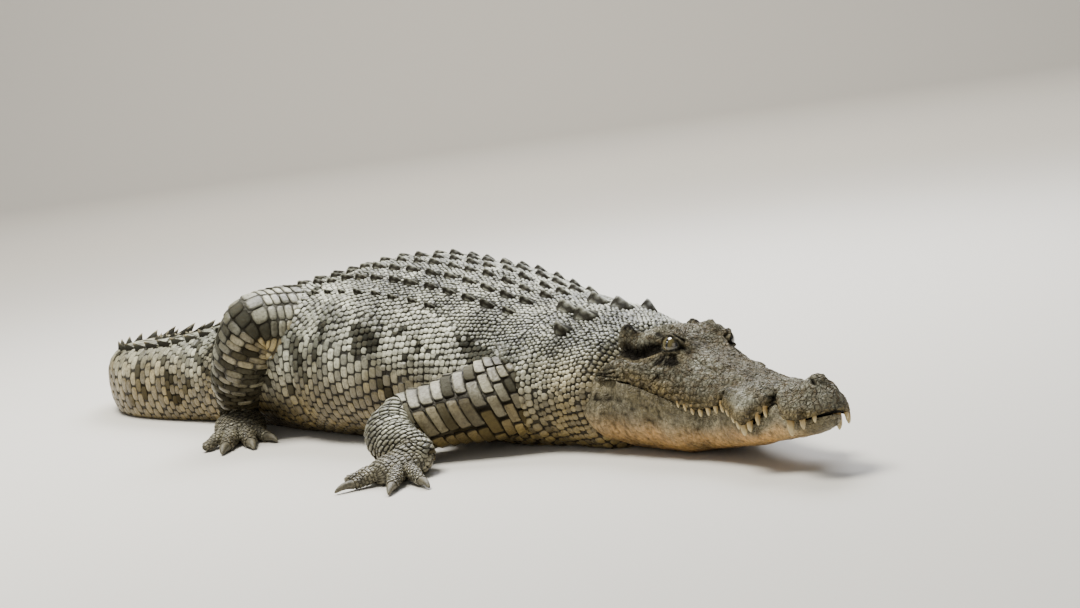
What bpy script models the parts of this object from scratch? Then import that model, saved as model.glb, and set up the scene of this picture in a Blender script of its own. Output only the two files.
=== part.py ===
"""A life-size saltwater crocodile lying on its belly, head raised a little, tail curled round behind it.

Metres, +Z up. The origin is on the floor under the trunk's middle, and +X runs along the trunk to the head.
Everything is worked out from HEAD, the skull's length from the snout's tip to the back of the skull table.
The flesh is lofted along one spine line, and parted at the neck, the trunk and along the tail by thin cuts.
"""

import math

import bmesh
import bpy
import numpy as np

HEAD = 0.60  # skull length, snout tip to the back of the skull table
GAP = 0.0006  # left between neighbouring solids
UNDER = 0.03  # how far a resting shape would reach below the floor, had the floor not pressed it flat

# The spine line runs back from the skull table. Each stretch is (its length, how far it turns, in degrees),
# and a positive turn swings what is behind it to the animal's right.
SPINE = (
    (0.33, 11.0),
    (0.42, 2.3),
    (0.45, 10.5),
    (0.28, 1.0),
    (0.20, -4.0),
    (0.72, -116.0),
    (0.60, -62.0),
    (0.65, 6.0),
)
TRUNK_MIDDLE = 0.75  # the origin's distance behind the skull table
SPINE_STEP = 0.01

# Body sections: distance behind the skull table, half width, height of the back, height of the widest place,
# and how square the section is (2 is an ellipse).
SECTIONS = (
    ("nape", -0.15, 0.110, 0.215, 0.110, 2.1),
    ("skull table", -0.05, 0.148, 0.236, 0.115, 2.1),
    ("neck", 0.12, 0.200, 0.262, 0.120, 2.1),
    ("shoulder", 0.33, 0.235, 0.305, 0.125, 2.2),
    ("ribs", 0.55, 0.275, 0.355, 0.130, 2.3),
    ("belly", 0.82, 0.305, 0.378, 0.135, 2.4),
    ("loin", 1.05, 0.275, 0.350, 0.130, 2.4),
    ("hip", 1.22, 0.210, 0.310, 0.130, 2.3),
    ("vent", 1.42, 0.152, 0.250, 0.112, 2.4),
    ("tail root", 1.65, 0.120, 0.208, 0.095, 2.5),
    ("tail, a third back", 2.05, 0.088, 0.168, 0.078, 2.6),
    ("tail, half way", 2.50, 0.060, 0.138, 0.064, 2.6),
    ("tail, two thirds", 2.95, 0.038, 0.104, 0.048, 2.5),
    ("tail, near its end", 3.35, 0.021, 0.068, 0.030, 2.3),
    ("tail tip", 3.60, 0.008, 0.026, 0.012, 2.0),
)
NECK_FROM, NECK_TO, TRUNK_TO = -0.15, 0.26, 1.40
TAIL_PARTS = (("tail_base", 1.40, 2.05), ("tail_middle", 2.05, 2.75), ("tail_tip", 2.75, 3.60))
BODY_STEP, TAIL_STEP = 0.07, 0.105  # distance between rings
BODY_SIDES = 22
TAIL_SIDES = 12

# Skull, in skull lengths: distance ahead of the skull table's back edge, half width at the mouth line,
# height of the dome over the mouth, and height of the mouth line. Heights are over the jaw's underside.
SKULL = (
    ("back of the cheek", -0.10, 0.236, 0.310, 0.245),
    ("jaw joint", -0.02, 0.256, 0.332, 0.250),
    ("ear", 0.08, 0.250, 0.345, 0.252),
    ("corner of the mouth", 0.17, 0.230, 0.352, 0.240),
    ("eye", 0.27, 0.202, 0.350, 0.205),
    ("front of the eye", 0.37, 0.176, 0.320, 0.165),
    ("second wave", 0.47, 0.156, 0.282, 0.140),
    ("between the waves", 0.575, 0.140, 0.252, 0.152),
    ("before the great tooth", 0.64, 0.142, 0.234, 0.122),
    ("great tooth", 0.712, 0.152, 0.224, 0.092),
    ("behind the notch", 0.77, 0.122, 0.215, 0.120),
    ("notch", 0.815, 0.092, 0.209, 0.150),
    ("swell of the nose", 0.88, 0.106, 0.206, 0.104),
    ("nostrils", 0.935, 0.102, 0.200, 0.098),
    ("front teeth", 0.975, 0.074, 0.178, 0.104),
    ("snout tip", 1.00, 0.030, 0.142, 0.115),
)
# Lower jaw, in skull lengths: distance ahead, half width, and height of its underside.
JAW = (
    ("back of the jaw", -0.20, 0.250, 0.135),
    ("jowl's back", -0.15, 0.300, 0.080),
    ("jaw joint", -0.04, 0.296, 0.018),
    ("jowl", 0.08, 0.266, 0.006),
    ("under the eye", 0.26, 0.210, -0.004),
    ("middle", 0.47, 0.134, 0.008),
    ("under the great tooth", 0.70, 0.116, 0.024),
    ("under the notch", 0.83, 0.086, 0.040),
    ("chin", 0.93, 0.070, 0.055),
    ("front teeth", 0.972, 0.045, 0.068),
    ("jaw tip", 0.986, 0.020, 0.080),
)
HEAD_BACK = -0.05  # where the skull table's back edge lies on the spine line
HEAD_RISE, HEAD_TILT, HEAD_ROLL = -0.013, 6.0, -5.4
EYE_PLACE, EYE_RADIUS = (0.268, 0.094, 0.346), 0.039

# Teeth: how far ahead, how long and how thick, in skull lengths.
UPPER_TEETH = (
    (0.978, 0.020, 0.015), (0.950, 0.034, 0.020), (0.892, 0.058, 0.026), (0.862, 0.018, 0.015),
    (0.782, 0.020, 0.016), (0.758, 0.024, 0.019), (0.732, 0.028, 0.022), (0.702, 0.036, 0.026),
    (0.670, 0.026, 0.021), (0.640, 0.020, 0.018), (0.610, 0.018, 0.017), (0.578, 0.020, 0.018),
    (0.542, 0.022, 0.019), (0.506, 0.022, 0.019), (0.470, 0.020, 0.018), (0.436, 0.018, 0.016),
    (0.404, 0.015, 0.015), (0.375, 0.012, 0.013),
)
LOWER_TEETH = ((0.822, 0.040, 0.022),)

# Limbs: joints as (behind the skull table, out from the spine line, height, half thickness).
# The left front leg is folded further back along the ribs than the right one.
FRONT_LEG = (
    ("in the shoulder", 0.19, 0.10, 0.125, 0.078),
    ("shoulder", 0.27, 0.22, 0.110, 0.075),
    ("upper arm", 0.365, 0.305, 0.092, 0.069),
    ("elbow", 0.415, 0.362, 0.079, 0.064),
    ("below the elbow", 0.395, 0.408, 0.068, 0.057),
    ("forearm", 0.335, 0.428, 0.056, 0.048),
    ("wrist", 0.262, 0.434, 0.040, 0.041),
)
LEFT_FRONT_LEG = (
    ("in the shoulder", 0.20, 0.10, 0.125, 0.078),
    ("shoulder", 0.31, 0.225, 0.110, 0.075),
    ("upper arm", 0.43, 0.310, 0.092, 0.069),
    ("elbow", 0.505, 0.368, 0.079, 0.064),
    ("below the elbow", 0.500, 0.416, 0.068, 0.057),
    ("forearm", 0.455, 0.442, 0.056, 0.048),
    ("wrist", 0.390, 0.455, 0.040, 0.041),
)
HIND_LEG = (
    ("in the hip", 1.10, 0.05, 0.160, 0.080),
    ("hip", 1.085, 0.14, 0.215, 0.092),
    ("thigh", 1.07, 0.215, 0.262, 0.088),
    ("knee", 1.085, 0.278, 0.274, 0.076),
    ("shank", 1.150, 0.290, 0.195, 0.066),
    ("ankle", 1.235, 0.245, 0.070, 0.048),
)

SKIN, DARK = (0.20, 0.19, 0.14), (0.05, 0.05, 0.045)
WHORL = 0.056  # pitch of the rings of scales and of the crest plates along the tail
HEAD_SIDES, JAW_SIDES = 15, 9
HEAD_AT = sorted([row[1] for row in SKULL] + [0.03, 0.22, 0.32, 0.525, 0.675, 0.745, 0.848, 0.957, 0.99])
LEG_RINGS, LEG_SIDES = 10, 10
LEFT_KNEE = 0.92  # height of the left hind leg's joints over the right one's, as it lies flatter
CLAW, CLAW_GAP = 0.036, 0.003
# Fingers and toes, the inner first: turn from the hand's own way, in degrees, length from the palm's middle,
# and half thickness.
FINGERS = (
    (-80, 0.116, 0.016),
    (-50, 0.120, 0.017),
    (6, 0.112, 0.017),
    (34, 0.118, 0.015),
    (60, 0.106, 0.013),
)
TOES = ((-30, 0.130, 0.019), (-9, 0.160, 0.021), (12, 0.168, 0.021), (34, 0.150, 0.017))
HAND, FOOT = (0.105, 0.052), (0.135, 0.064)  # length and half width of the palm and of the sole
HAND_TURN, LEFT_HAND_TURN, FOOT_TURN = 98.0, 66.0, 34.0  # how far they point outwards, in degrees

# Shields behind the head: distance behind the skull table, to the side, length, height and width.
NAPE_SHIELDS = (
    (0.095, 0.042, 0.066, 0.019, 0.058),
    (0.170, 0.036, 0.062, 0.018, 0.054),
    (0.102, 0.108, 0.048, 0.014, 0.042),
)
# Crest along the tail: two rows from the vent to half way, then one. Each is (from, to, height at its start,
# height at its end); the two rows close in from the first distance out from the ridge to the second.
CREST_ROWS = (1.46, 2.52, 0.016, 0.036)
CREST_OUT = (0.080, 0.012)
CREST_LINE = (2.54, 3.50, 0.048, 0.020)


def through(at, stations, values):
    """A smooth curve through the stations: cubics, level at each peak, so that it never overshoots."""
    x, y = np.asarray(stations, float), np.asarray(values, float)
    rise = np.diff(y) / np.diff(x)
    before, after = rise[:-1], rise[1:]
    same = before * after > 0
    mean = np.where(same, 2 * before * after / np.where(same, before + after, 1.0), 0.0)
    slope = np.concatenate([rise[:1], mean, rise[-1:]])
    at = np.clip(np.asarray(at, float), x[0], x[-1])
    i = np.clip(np.searchsorted(x, at, side="right") - 1, 0, len(x) - 2)
    step = x[i + 1] - x[i]
    t = (at - x[i]) / step
    return (
        y[i] * (1 + 2 * t) * (1 - t) ** 2
        + y[i + 1] * t * t * (3 - 2 * t)
        + step * slope[i] * t * (1 - t) ** 2
        - step * slope[i + 1] * t * t * (1 - t)
    )


def spine_line():
    """Distances behind the skull table, the line's place there, and the way the animal faces, in radians."""
    ends = np.cumsum([0.0] + [length for length, _ in SPINE])
    turns = np.radians(np.cumsum([0.0] + [turn for _, turn in SPINE]))
    back = np.arange(ends[0], ends[-1] + SPINE_STEP / 2, SPINE_STEP)
    facing = through(back, ends, turns)
    facing -= np.interp(TRUNK_MIDDLE, back, facing)
    steps = np.stack([np.cos(facing), np.sin(facing)], 1) * SPINE_STEP
    place = np.concatenate([[[0.0, 0.0]], -np.cumsum((steps[1:] + steps[:-1]) / 2, axis=0)])
    middle = [np.interp(TRUNK_MIDDLE, back, place[:, k]) for k in (0, 1)]
    return back, place - middle, facing


SPINE_BACK, SPINE_PLACE, SPINE_FACING = spine_line()


def on_spine(back, left=0.0, up=0.0):
    """A point so far behind the skull table, to the left of the spine line and above the floor."""
    facing = np.interp(back, SPINE_BACK, SPINE_FACING)
    ahead = np.minimum(back, 0.0)
    x = np.interp(back, SPINE_BACK, SPINE_PLACE[:, 0]) - ahead * np.cos(facing) - left * np.sin(facing)
    y = np.interp(back, SPINE_BACK, SPINE_PLACE[:, 1]) - ahead * np.sin(facing) + left * np.cos(facing)
    return np.stack(np.broadcast_arrays(x, y, up), -1)


def body_section(back, round_it, grow=0.0):
    """Points round the body: round_it runs from 0 at the back's ridge down the right side and on to 1."""
    far = np.array([s[1] for s in SECTIONS])
    half, top, widest, square = (through(back, far, [s[k] for s in SECTIONS]) for k in (2, 3, 4, 5))
    angle = 2 * math.pi * round_it
    side, height = np.sin(angle), np.cos(angle)
    across = -np.sign(side) * np.abs(side) ** (2 / square) * (half + grow)
    lift = np.abs(height) ** (2 / square)
    up = np.where(height > 0, widest + lift * (top + grow - widest), widest - lift * (widest + UNDER))
    return on_spine(back, across, np.maximum(up, 0.0 if grow == 0 else -grow))


def mound(ahead, left, at, reach, height):
    """A smooth mound, alike on both sides: at is its middle and reach its spread, ahead and to the side."""
    far = ((ahead - at[0]) / reach[0]) ** 2 + ((np.abs(left) - at[1]) / reach[1]) ** 2
    return height * np.exp(-far)


def ramp(x, low, high):
    """From 0 at low to 1 at high, level at both."""
    t = np.clip((x - low) / (high - low), 0.0, 1.0)
    return t * t * (3 - 2 * t)


def relief(ahead, left):
    """What stands on the skull's dome: table, its horns, brows, snout ridges, tooth swells and nose."""
    table = ramp(ahead, -0.035, 0.0) * ramp(-ahead, -0.34, -0.16) * ramp(-np.abs(left), -0.165, -0.128)
    return (
        0.064 * table
        + mound(ahead, left, (0.035, 0.136), (0.05, 0.022), 0.034)
        + mound(ahead, left, (0.270, 0.084), (0.075, 0.028), 0.046)
        - mound(ahead, left, (0.29, 0.0), (0.06, 0.035), 0.012)
        - mound(ahead, left, (0.12, 0.178), (0.09, 0.018), 0.018)
        + mound(ahead, left, (0.10, 0.215), (0.14, 0.022), 0.016)
        + mound(ahead, left, (0.50, 0.058), (0.11, 0.020), 0.014)
        + mound(ahead, left, (0.715, 0.110), (0.055, 0.035), 0.018)
        + mound(ahead, left, (0.925, 0.0), (0.040, 0.045), 0.024)
    )


def on_head(ahead, left, up):
    """A point given in skull lengths in the head's own frame."""
    facing = SPINE_FACING[0]
    tilt, roll = math.radians(HEAD_TILT), math.radians(HEAD_ROLL)
    forward = np.array([math.cos(facing) * math.cos(tilt), math.sin(facing) * math.cos(tilt), math.sin(tilt)])
    level = np.array([-math.sin(facing), math.cos(facing), 0.0])
    side = level * math.cos(roll) + np.cross(forward, level) * math.sin(roll)
    ahead, left, up = (np.asarray(v, float)[..., None] * HEAD for v in (ahead, left, up))
    return on_spine(HEAD_BACK, up=HEAD_RISE) + ahead * forward + left * side + up * np.cross(forward, side)


def column(table, k):
    """One column of a table of named stations, in order along the part."""
    return [row[k] for row in table]


def skull_section(ahead, round_it, grow=0.0, rise=1.0):
    """Points round the skull: round_it runs from 0 at the mouth's right edge over the top to 1."""
    far = column(SKULL, 1)
    half, dome, mouth = (through(ahead, far, column(SKULL, k)) for k in (2, 3, 4))
    angle = math.pi * np.asarray(round_it)
    left = -np.cos(angle)
    up = mouth - grow + (dome - mouth + 2 * grow) * rise * np.sin(angle) ** 0.9
    up = up + relief(ahead, left * half) * rise * np.sin(angle) ** 0.25
    return on_head(ahead, left * (half + grow), up)


def jaw_section(ahead, round_it, grow=0.0):
    """Points round the lower jaw: from 0 at the right edge of the mouth under the chin to 1 at the left."""
    half, under = (through(ahead, column(JAW, 1), column(JAW, k)) for k in (2, 3))
    mouth = through(ahead, column(SKULL, 1), column(SKULL, 4)) - 2 * GAP / HEAD
    angle = math.pi * np.asarray(round_it)
    left = -np.sign(np.cos(angle)) * np.abs(np.cos(angle)) ** 0.75 * (half + grow)
    place = on_head(ahead, left, mouth + grow - (mouth - under + 2 * grow) * np.sin(angle) ** 0.75)
    place[..., 2] = np.maximum(place[..., 2], 0.0 if grow == 0 else -grow)
    return place


def tube(joints, thick, steps, sides, flat=1.0):
    """Rings round a smooth line through the joints; flat squeezes them. Nothing goes below the floor."""
    run = np.concatenate([[0.0], np.cumsum(np.linalg.norm(np.diff(joints, axis=0), axis=1))])
    at = np.linspace(0.0, run[-1], steps)
    line = np.stack([through(at, run, joints[:, k]) for k in range(3)], 1)
    radius = through(at, run, thick)
    ahead = np.gradient(line, axis=0)
    ahead /= np.linalg.norm(ahead, axis=1, keepdims=True)
    across = np.empty_like(ahead)
    carried = np.cross(ahead[0], (0.0, 0.0, 1.0))
    for k, way in enumerate(ahead):
        carried = carried - way * (carried @ way)
        carried /= np.linalg.norm(carried)
        across[k] = carried
    over = np.cross(across, ahead)
    angle = 2 * math.pi * np.arange(sides) / sides
    ring = line[:, None] + across[:, None] * (radius[:, None] * np.cos(angle))[..., None]
    ring = ring + over[:, None] * (radius[:, None] * np.sin(angle) * flat)[..., None]
    ring[..., 2] = np.maximum(ring[..., 2], 0.0)
    return ring


def horn(root, tip, thick, sides, bend=None):
    """Rings of a tapering horn from root to a small blunt tip, bowed by bend at its middle if it has one."""
    root, tip = np.asarray(root, float), np.asarray(tip, float)
    share = np.array([0.0, 1.0] if bend is None else [0.0, 0.6, 1.0])
    line = root + share[:, None] * (tip - root)
    if bend is not None:
        line += np.outer(4 * share * (1 - share), bend)
    ahead = np.gradient(line, axis=0)
    ahead /= np.linalg.norm(ahead, axis=1, keepdims=True)
    across = np.cross(ahead, (0.2, 0.1, 1.0))
    across /= np.linalg.norm(across, axis=1, keepdims=True)
    over = np.cross(across, ahead)
    radius = thick * np.interp(share, [0.0, 0.6, 1.0], [1.0, 0.78, 0.24])
    angle = 2 * math.pi * np.arange(sides) / sides
    ring = line[:, None] + across[:, None] * (radius[:, None] * np.cos(angle))[..., None]
    return ring + over[:, None] * (radius[:, None] * np.sin(angle))[..., None]


def mesh_from(name, lofts):
    """One mesh of closed lofts, each a list of rings of points, capped at both ends."""
    build = bmesh.new()
    for rings in lofts:
        rows = [[build.verts.new(p) for p in ring] for ring in rings]
        for one, two in zip(rows[:-1], rows[1:]):
            for k, corner in enumerate(one):
                after = (k + 1) % len(one)
                build.faces.new((corner, one[after], two[after], two[k]))
        build.faces.new(rows[0][::-1])
        build.faces.new(rows[-1])
    bmesh.ops.remove_doubles(build, verts=build.verts, dist=0.00002)
    bmesh.ops.dissolve_degenerate(build, edges=build.edges, dist=0.00002)
    bmesh.ops.triangulate(build, faces=build.faces, quad_method="FIXED")
    bmesh.ops.recalc_face_normals(build, faces=build.faces)
    mesh = bpy.data.meshes.new(name)
    build.to_mesh(mesh)
    build.free()
    return mesh


def spare(lofts):
    """An object that only serves to cut or to join, and isn't kept."""
    thing = bpy.data.objects.new("spare", mesh_from("spare", lofts))
    bpy.context.scene.collection.objects.link(thing)
    return thing


def worked(thing, *steps, crossing=False):
    """The thing after joins and cuts with other things, each step an operation and the other thing.

    Crossing is for a tube so tightly bent that its rings cross one another.
    """
    for operation, other in steps:
        boolean = thing.modifiers.new(operation.lower(), "BOOLEAN")
        boolean.operation = operation
        boolean.solver = "EXACT"
        boolean.use_self = crossing
        boolean.object = other
    bpy.context.view_layer.update()
    mesh = bpy.data.meshes.new_from_object(thing.evaluated_get(bpy.context.evaluated_depsgraph_get()))
    thing.modifiers.clear()
    tidy = bmesh.new()
    tidy.from_mesh(mesh)
    bmesh.ops.triangulate(tidy, faces=tidy.faces)
    tidy.to_mesh(mesh)
    tidy.free()
    thing.data = mesh
    return thing


def swollen(thing, by):
    """A cutter of the thing's own shape with its surface moved outwards."""
    other = bpy.data.objects.new("spare", thing.data.copy())
    bpy.context.scene.collection.objects.link(other)
    swell = bmesh.new()
    swell.from_mesh(other.data)
    ways = [corner.normal.copy() for corner in swell.verts]
    for corner, way in zip(swell.verts, ways):
        corner.co += way * by
    swell.to_mesh(other.data)
    swell.free()
    return other


def discard(*things):
    for thing in things:
        bpy.data.objects.remove(thing)


def skull_rings():
    return [skull_section(ahead, np.linspace(0.0, 1.0, HEAD_SIDES)) for ahead in HEAD_AT]


def jaw_rings():
    far = [-0.20, -0.15] + [ahead for ahead in HEAD_AT if ahead < 0.98] + [0.986]
    return [jaw_section(ahead, np.linspace(1.0, 0.0, JAW_SIDES)) for ahead in far]


def block_rings(grow):
    """The back of skull and jaw in one piece, a little grown, with which the neck is cut to fit them."""
    rings = []
    for ahead in [-0.20, -0.15, -0.102] + [at for at in HEAD_AT if at < 0.35]:
        over = skull_section(ahead, np.linspace(0.0, 1.0, HEAD_SIDES), grow, 1.0 if ahead > -0.101 else 0.02)
        rings.append(np.concatenate([over, jaw_section(ahead, np.linspace(1.0, 0.0, JAW_SIDES), grow)]))
    return rings


def tooth_rings(ahead, long, thick, side, upper, grow=0.0):
    """One tooth on the mouth's edge: it hangs from the upper lip or stands in the lower one."""
    half, mouth = (float(through(ahead, column(SKULL, 1), column(SKULL, k))) for k in (2, 4))
    if not upper:
        half = float(through(ahead, column(JAW, 1), column(JAW, 2)))
    if ahead > 0.95:
        half *= 0.90
    way = -1.0 if upper else 1.0
    edge = half - (0.6 if upper else 1.0) * thick
    root = on_head(ahead, side * edge, mouth - way * 0.020)
    tip = on_head(ahead + 0.004, side * (edge + 0.10 * long), mouth + way * long)
    return horn(root, tip, thick * HEAD / 2 + grow, 4)


def teeth_rings(table, upper, grow=0.0):
    return [tooth_rings(*row, side, upper, grow) for row in table for side in (-1, 1)]


def ball_rings(middle, radius, rounds=6, sides=11):
    """Rings of a ball about a level axis that points ahead, with small blunt poles."""
    turn = np.linspace(0.06, math.pi - 0.06, rounds + 1)
    angle = 2 * math.pi * np.arange(sides) / sides
    ring = np.stack(np.broadcast_arrays(np.cos(turn)[:, None], np.outer(np.sin(turn), np.cos(angle)),
                                        np.outer(np.sin(turn), np.sin(angle))), -1)
    return middle + radius * ring


def keel_rings(back, left, long, high, wide, lean=0.0):
    """A ridged plate on the back: low in front, highest near its rear edge, dug a little into the skin."""
    here = body_top(back, left)
    rear = body_top(back + long, left)
    crest = body_top(back + 0.86 * long, left + lean * high)
    side = on_spine(back + long, left + wide / 2) - on_spine(back + long, left - wide / 2)
    down, peak = (0.0, 0.0, -0.008), crest + (0.0, 0.0, high)
    return [
        [here + down - side * 0.2, here + down + side * 0.2, here + (0.0, 0.0, 0.001)],
        [rear + down - side / 2, rear + down + side / 2, peak],
    ]


def body_top(back, left):
    """The place on the back over this point of the spine line, so far to its left."""
    far = np.array(column(SECTIONS, 1))
    half, top, widest, square = (through(back, far, column(SECTIONS, k)) for k in (2, 3, 4, 5))
    share = np.clip(np.abs(left) / half, 0.0, 0.98)
    return on_spine(back, left, widest + (top - widest) * (1 - share**square) ** (1 / square))


def crest_rows():
    """Where every crest plate stands: distance behind, to the left, length, height, width and lean."""
    rows = []
    start, end, low, high = CREST_ROWS
    for back in np.arange(start, end, WHORL):
        share = (back - start) / (end - start)
        out = CREST_OUT[0] + (CREST_OUT[1] - CREST_OUT[0]) * share
        for side in (-1, 1):
            rows.append((back, side * out, WHORL * 0.92, low + (high - low) * share, 0.018, side * 0.25))
    start, end, high, low = CREST_LINE
    for back in np.arange(start, end, WHORL):
        share = (back - start) / (end - start)
        rows.append((back, 0.0, WHORL * 0.92, high + (low - high) * share, 0.012, 0.0))
    return rows


def paint(name, colour, roughness):
    """A Principled material with one even colour."""
    made = bpy.data.materials.new(name)
    made.use_nodes = True
    shader = made.node_tree.nodes["Principled BSDF"]
    shader.inputs["Base Color"].default_value = (*colour, 1.0)
    shader.inputs["Roughness"].default_value = roughness
    made.diffuse_color = (*colour, 1.0)
    return made


def keep(name, thing, colour, roughness):
    """Names a finished part, gives it its own material and smooth faces, and files it with the crocodile."""
    thing.name = thing.data.name = name
    thing.data.materials.clear()
    thing.data.materials.append(paint(name, colour, roughness))
    for face in thing.data.polygons:
        face.use_smooth = True
    for group in list(thing.users_collection):
        group.objects.unlink(thing)
    bpy.data.collections["crocodile"].objects.link(thing)
    return thing


def limb(joints, side):
    """The joints' places in the world and their half thicknesses."""
    back, out, up = (np.array(column(joints, k)) for k in (1, 2, 3))
    return on_spine(back, side * out, up)


def digit(start, way, turn, long, thick, side):
    """One finger or toe: rings from the palm's middle to the claw, and the claw's root, tip and way."""
    bearing = way + side * math.radians(turn)
    ahead = np.array([math.cos(bearing), math.sin(bearing), 0.0])
    joints = start + np.outer([0.0, 0.45, 0.8, 1.0], ahead * long)
    joints[:, 2] = (start[2], start[2] * 0.55 + 0.012, 0.016, 0.012)
    return tube(joints, thick * np.array([1.1, 1.0, 0.82, 0.66]), 4, 6, 0.95), joints[-1], ahead


def foot(name, ankle, way, spread, palm, side, *cuts):
    """A hand or foot with its digits, and its claws on the three inner ones."""
    ahead = np.array([math.cos(way), math.sin(way), 0.0])
    floor = ankle * (1, 1, 0)
    start = floor + ahead * palm[0] * 0.35 + (0, 0, 0.026)
    line = floor + np.outer([-0.25, 0.0, 0.35, 0.75, 1.0], ahead * palm[0])
    line[:, 2] = (0.034, 0.036, 0.030, 0.022, 0.018)
    sole = tube(line, palm[1] * np.array([0.55, 0.80, 1.0, 0.95, 0.6]), 6, 9, 0.60)
    solid = spare([sole])
    steps, spares = [], []
    for k, (turn, long, thick) in enumerate(spread):
        rings, end, ahead = digit(start, way, turn, long, thick, side)
        spares.append(spare([rings]))
        steps.append(("UNION", spares[-1]))
        if k < 3:
            root = end + ahead * CLAW_GAP
            tip = root + ahead * CLAW + (0, 0, -0.008)
            claw = spare([horn(root, tip, thick * 0.52, 6, (0, 0, 0.004))])
            keep(f"{name}_claw_{k + 1}", claw, DARK, 0.4)
    solid = worked(solid, *steps)
    discard(*spares)
    for cut in cuts:
        worked(solid, ("DIFFERENCE", cut), crossing=True)
    return keep(name, solid, SKIN, 0.7)


def build():
    for thing in list(bpy.data.objects):
        bpy.data.objects.remove(thing, do_unlink=True)
    bpy.context.scene.collection.children.link(bpy.data.collections.new("crocodile"))

    head, jaw = spare([skull_rings()]), spare([jaw_rings()])
    jaw_room = swollen(jaw, 1.5 * GAP)
    upper, lower = spare(teeth_rings(UPPER_TEETH, True)), spare(teeth_rings(LOWER_TEETH, False))
    upper_room = spare(teeth_rings(UPPER_TEETH, True, GAP))
    lower_room = spare(teeth_rings(LOWER_TEETH, False, GAP))
    eyes = {}
    for name, side in (("eye_left", 1), ("eye_right", -1)):
        place = on_head(EYE_PLACE[0], side * EYE_PLACE[1], EYE_PLACE[2])
        eyes[name] = spare([ball_rings(place, EYE_RADIUS * HEAD)])
        socket = spare([ball_rings(place, EYE_RADIUS * HEAD + GAP)])
        worked(head, ("DIFFERENCE", socket))
        discard(socket)
    worked(head, ("DIFFERENCE", lower_room), ("UNION", upper))
    worked(jaw, ("DIFFERENCE", upper_room), ("UNION", lower))
    keep("head", head, SKIN, 0.7)
    keep("lower_jaw", jaw, SKIN, 0.7)
    for name, eye in eyes.items():
        keep(name, eye, (0.25, 0.22, 0.08), 0.1)

    stretches, flesh_at = {}, []
    ends = (("neck", NECK_FROM, NECK_TO), ("trunk", NECK_TO, TRUNK_TO)) + TAIL_PARTS
    for name, start, end in ends:
        sides = BODY_SIDES if end <= TRUNK_TO else TAIL_SIDES
        step = BODY_STEP if end <= TRUNK_TO else TAIL_STEP
        count = max(3, round((end - start) / step) + 1)
        far = np.linspace(start + GAP / 2, end - GAP / 2, count)
        rings = [body_section(back, np.arange(sides) / sides) for back in far]
        stretches[name] = spare([rings])
        flesh_at += [back for back in far[:-1] if back < 1.85]
    round_it = np.arange(BODY_SIDES) / BODY_SIDES
    grown_trunk = spare([[body_section(back, round_it, 1.5 * GAP) for back in flesh_at]])
    shields = [(back, side * out, *rest) for back, out, *rest in NAPE_SHIELDS for side in (-1, 1)]
    shields = spare([keel_rings(*row) for row in shields])
    block = spare([block_rings(GAP / HEAD)])
    worked(stretches["neck"], ("UNION", shields), ("DIFFERENCE", block), ("DIFFERENCE", jaw_room))
    discard(shields, block, jaw_room)
    for name, start, end in ends[2:]:
        rows = [row for row in crest_rows() if start + 0.003 < row[0] and row[0] + row[2] < end - 0.003]
        plates = spare([keel_rings(*row) for row in rows])
        worked(stretches[name], ("UNION", plates))
        discard(plates)
    for name, stretch in stretches.items():
        keep(name, stretch, SKIN, 0.7)

    for word, side in (("left", 1), ("right", -1)):
        arm = LEFT_FRONT_LEG if side > 0 else FRONT_LEG
        for leg, end, table, spread, palm, turn in (
            ("front_leg", "front_hand", arm, FINGERS, HAND, HAND_TURN),
            ("hind_leg", "hind_foot", HIND_LEG, TOES, FOOT, FOOT_TURN),
        ):
            joints = limb(table, side)
            if table is HIND_LEG and side > 0:
                joints[:-1, 2] *= LEFT_KNEE
            thick = np.array(column(table, 4))
            solid = spare([tube(joints, thick, LEG_RINGS, LEG_SIDES)])
            worked(solid, ("DIFFERENCE", grown_trunk), crossing=True)
            room = swollen(solid, 2 * GAP)
            keep(f"{leg}_{word}", solid, SKIN, 0.7)
            way = side * math.radians(LEFT_HAND_TURN if arm is LEFT_FRONT_LEG and table is arm else turn)
            foot(f"{end}_{word}", joints[-1], way, spread, palm, side, grown_trunk, room)
            discard(room)
    discard(grown_trunk, upper, lower, upper_room, lower_room)


build()
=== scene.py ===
"""A life-size saltwater crocodile lying on its belly: one skin over all the flesh, solid scales over it, and
separate eyes, teeth and claws. Metres, +Z up, +X towards the head, with the floor at 0."""

import math

import bpy
import numpy as np
from mathutils import Matrix


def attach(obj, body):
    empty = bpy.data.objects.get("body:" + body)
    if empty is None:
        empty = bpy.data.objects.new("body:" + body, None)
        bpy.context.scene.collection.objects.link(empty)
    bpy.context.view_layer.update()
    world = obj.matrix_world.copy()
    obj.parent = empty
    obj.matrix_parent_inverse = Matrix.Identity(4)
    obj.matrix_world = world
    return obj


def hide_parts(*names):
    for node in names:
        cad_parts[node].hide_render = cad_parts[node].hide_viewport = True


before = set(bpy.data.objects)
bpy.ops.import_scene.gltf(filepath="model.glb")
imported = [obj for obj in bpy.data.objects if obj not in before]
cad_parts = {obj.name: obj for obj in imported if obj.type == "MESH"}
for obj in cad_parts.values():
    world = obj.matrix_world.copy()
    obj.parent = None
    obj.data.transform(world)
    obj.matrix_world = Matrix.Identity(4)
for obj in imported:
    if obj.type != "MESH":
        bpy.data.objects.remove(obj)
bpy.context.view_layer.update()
ROUND = 2 * math.pi

# ------------------------------
# Stage: a pale matt sweep of floor and wall, and soft daylight from above, as in a studio with a large
# window. The camera stands low, ahead and to the right of the animal, and leans, as if on a slope.


def linear(code):
    """The linear colour of an sRGB hex code, with alpha 1."""
    parts = np.array([int(code[k : k + 2], 16) for k in (1, 3, 5)]) / 255
    return (*np.where(parts <= 0.04045, parts / 12.92, ((parts + 0.055) / 1.055) ** 2.4), 1.0)


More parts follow.
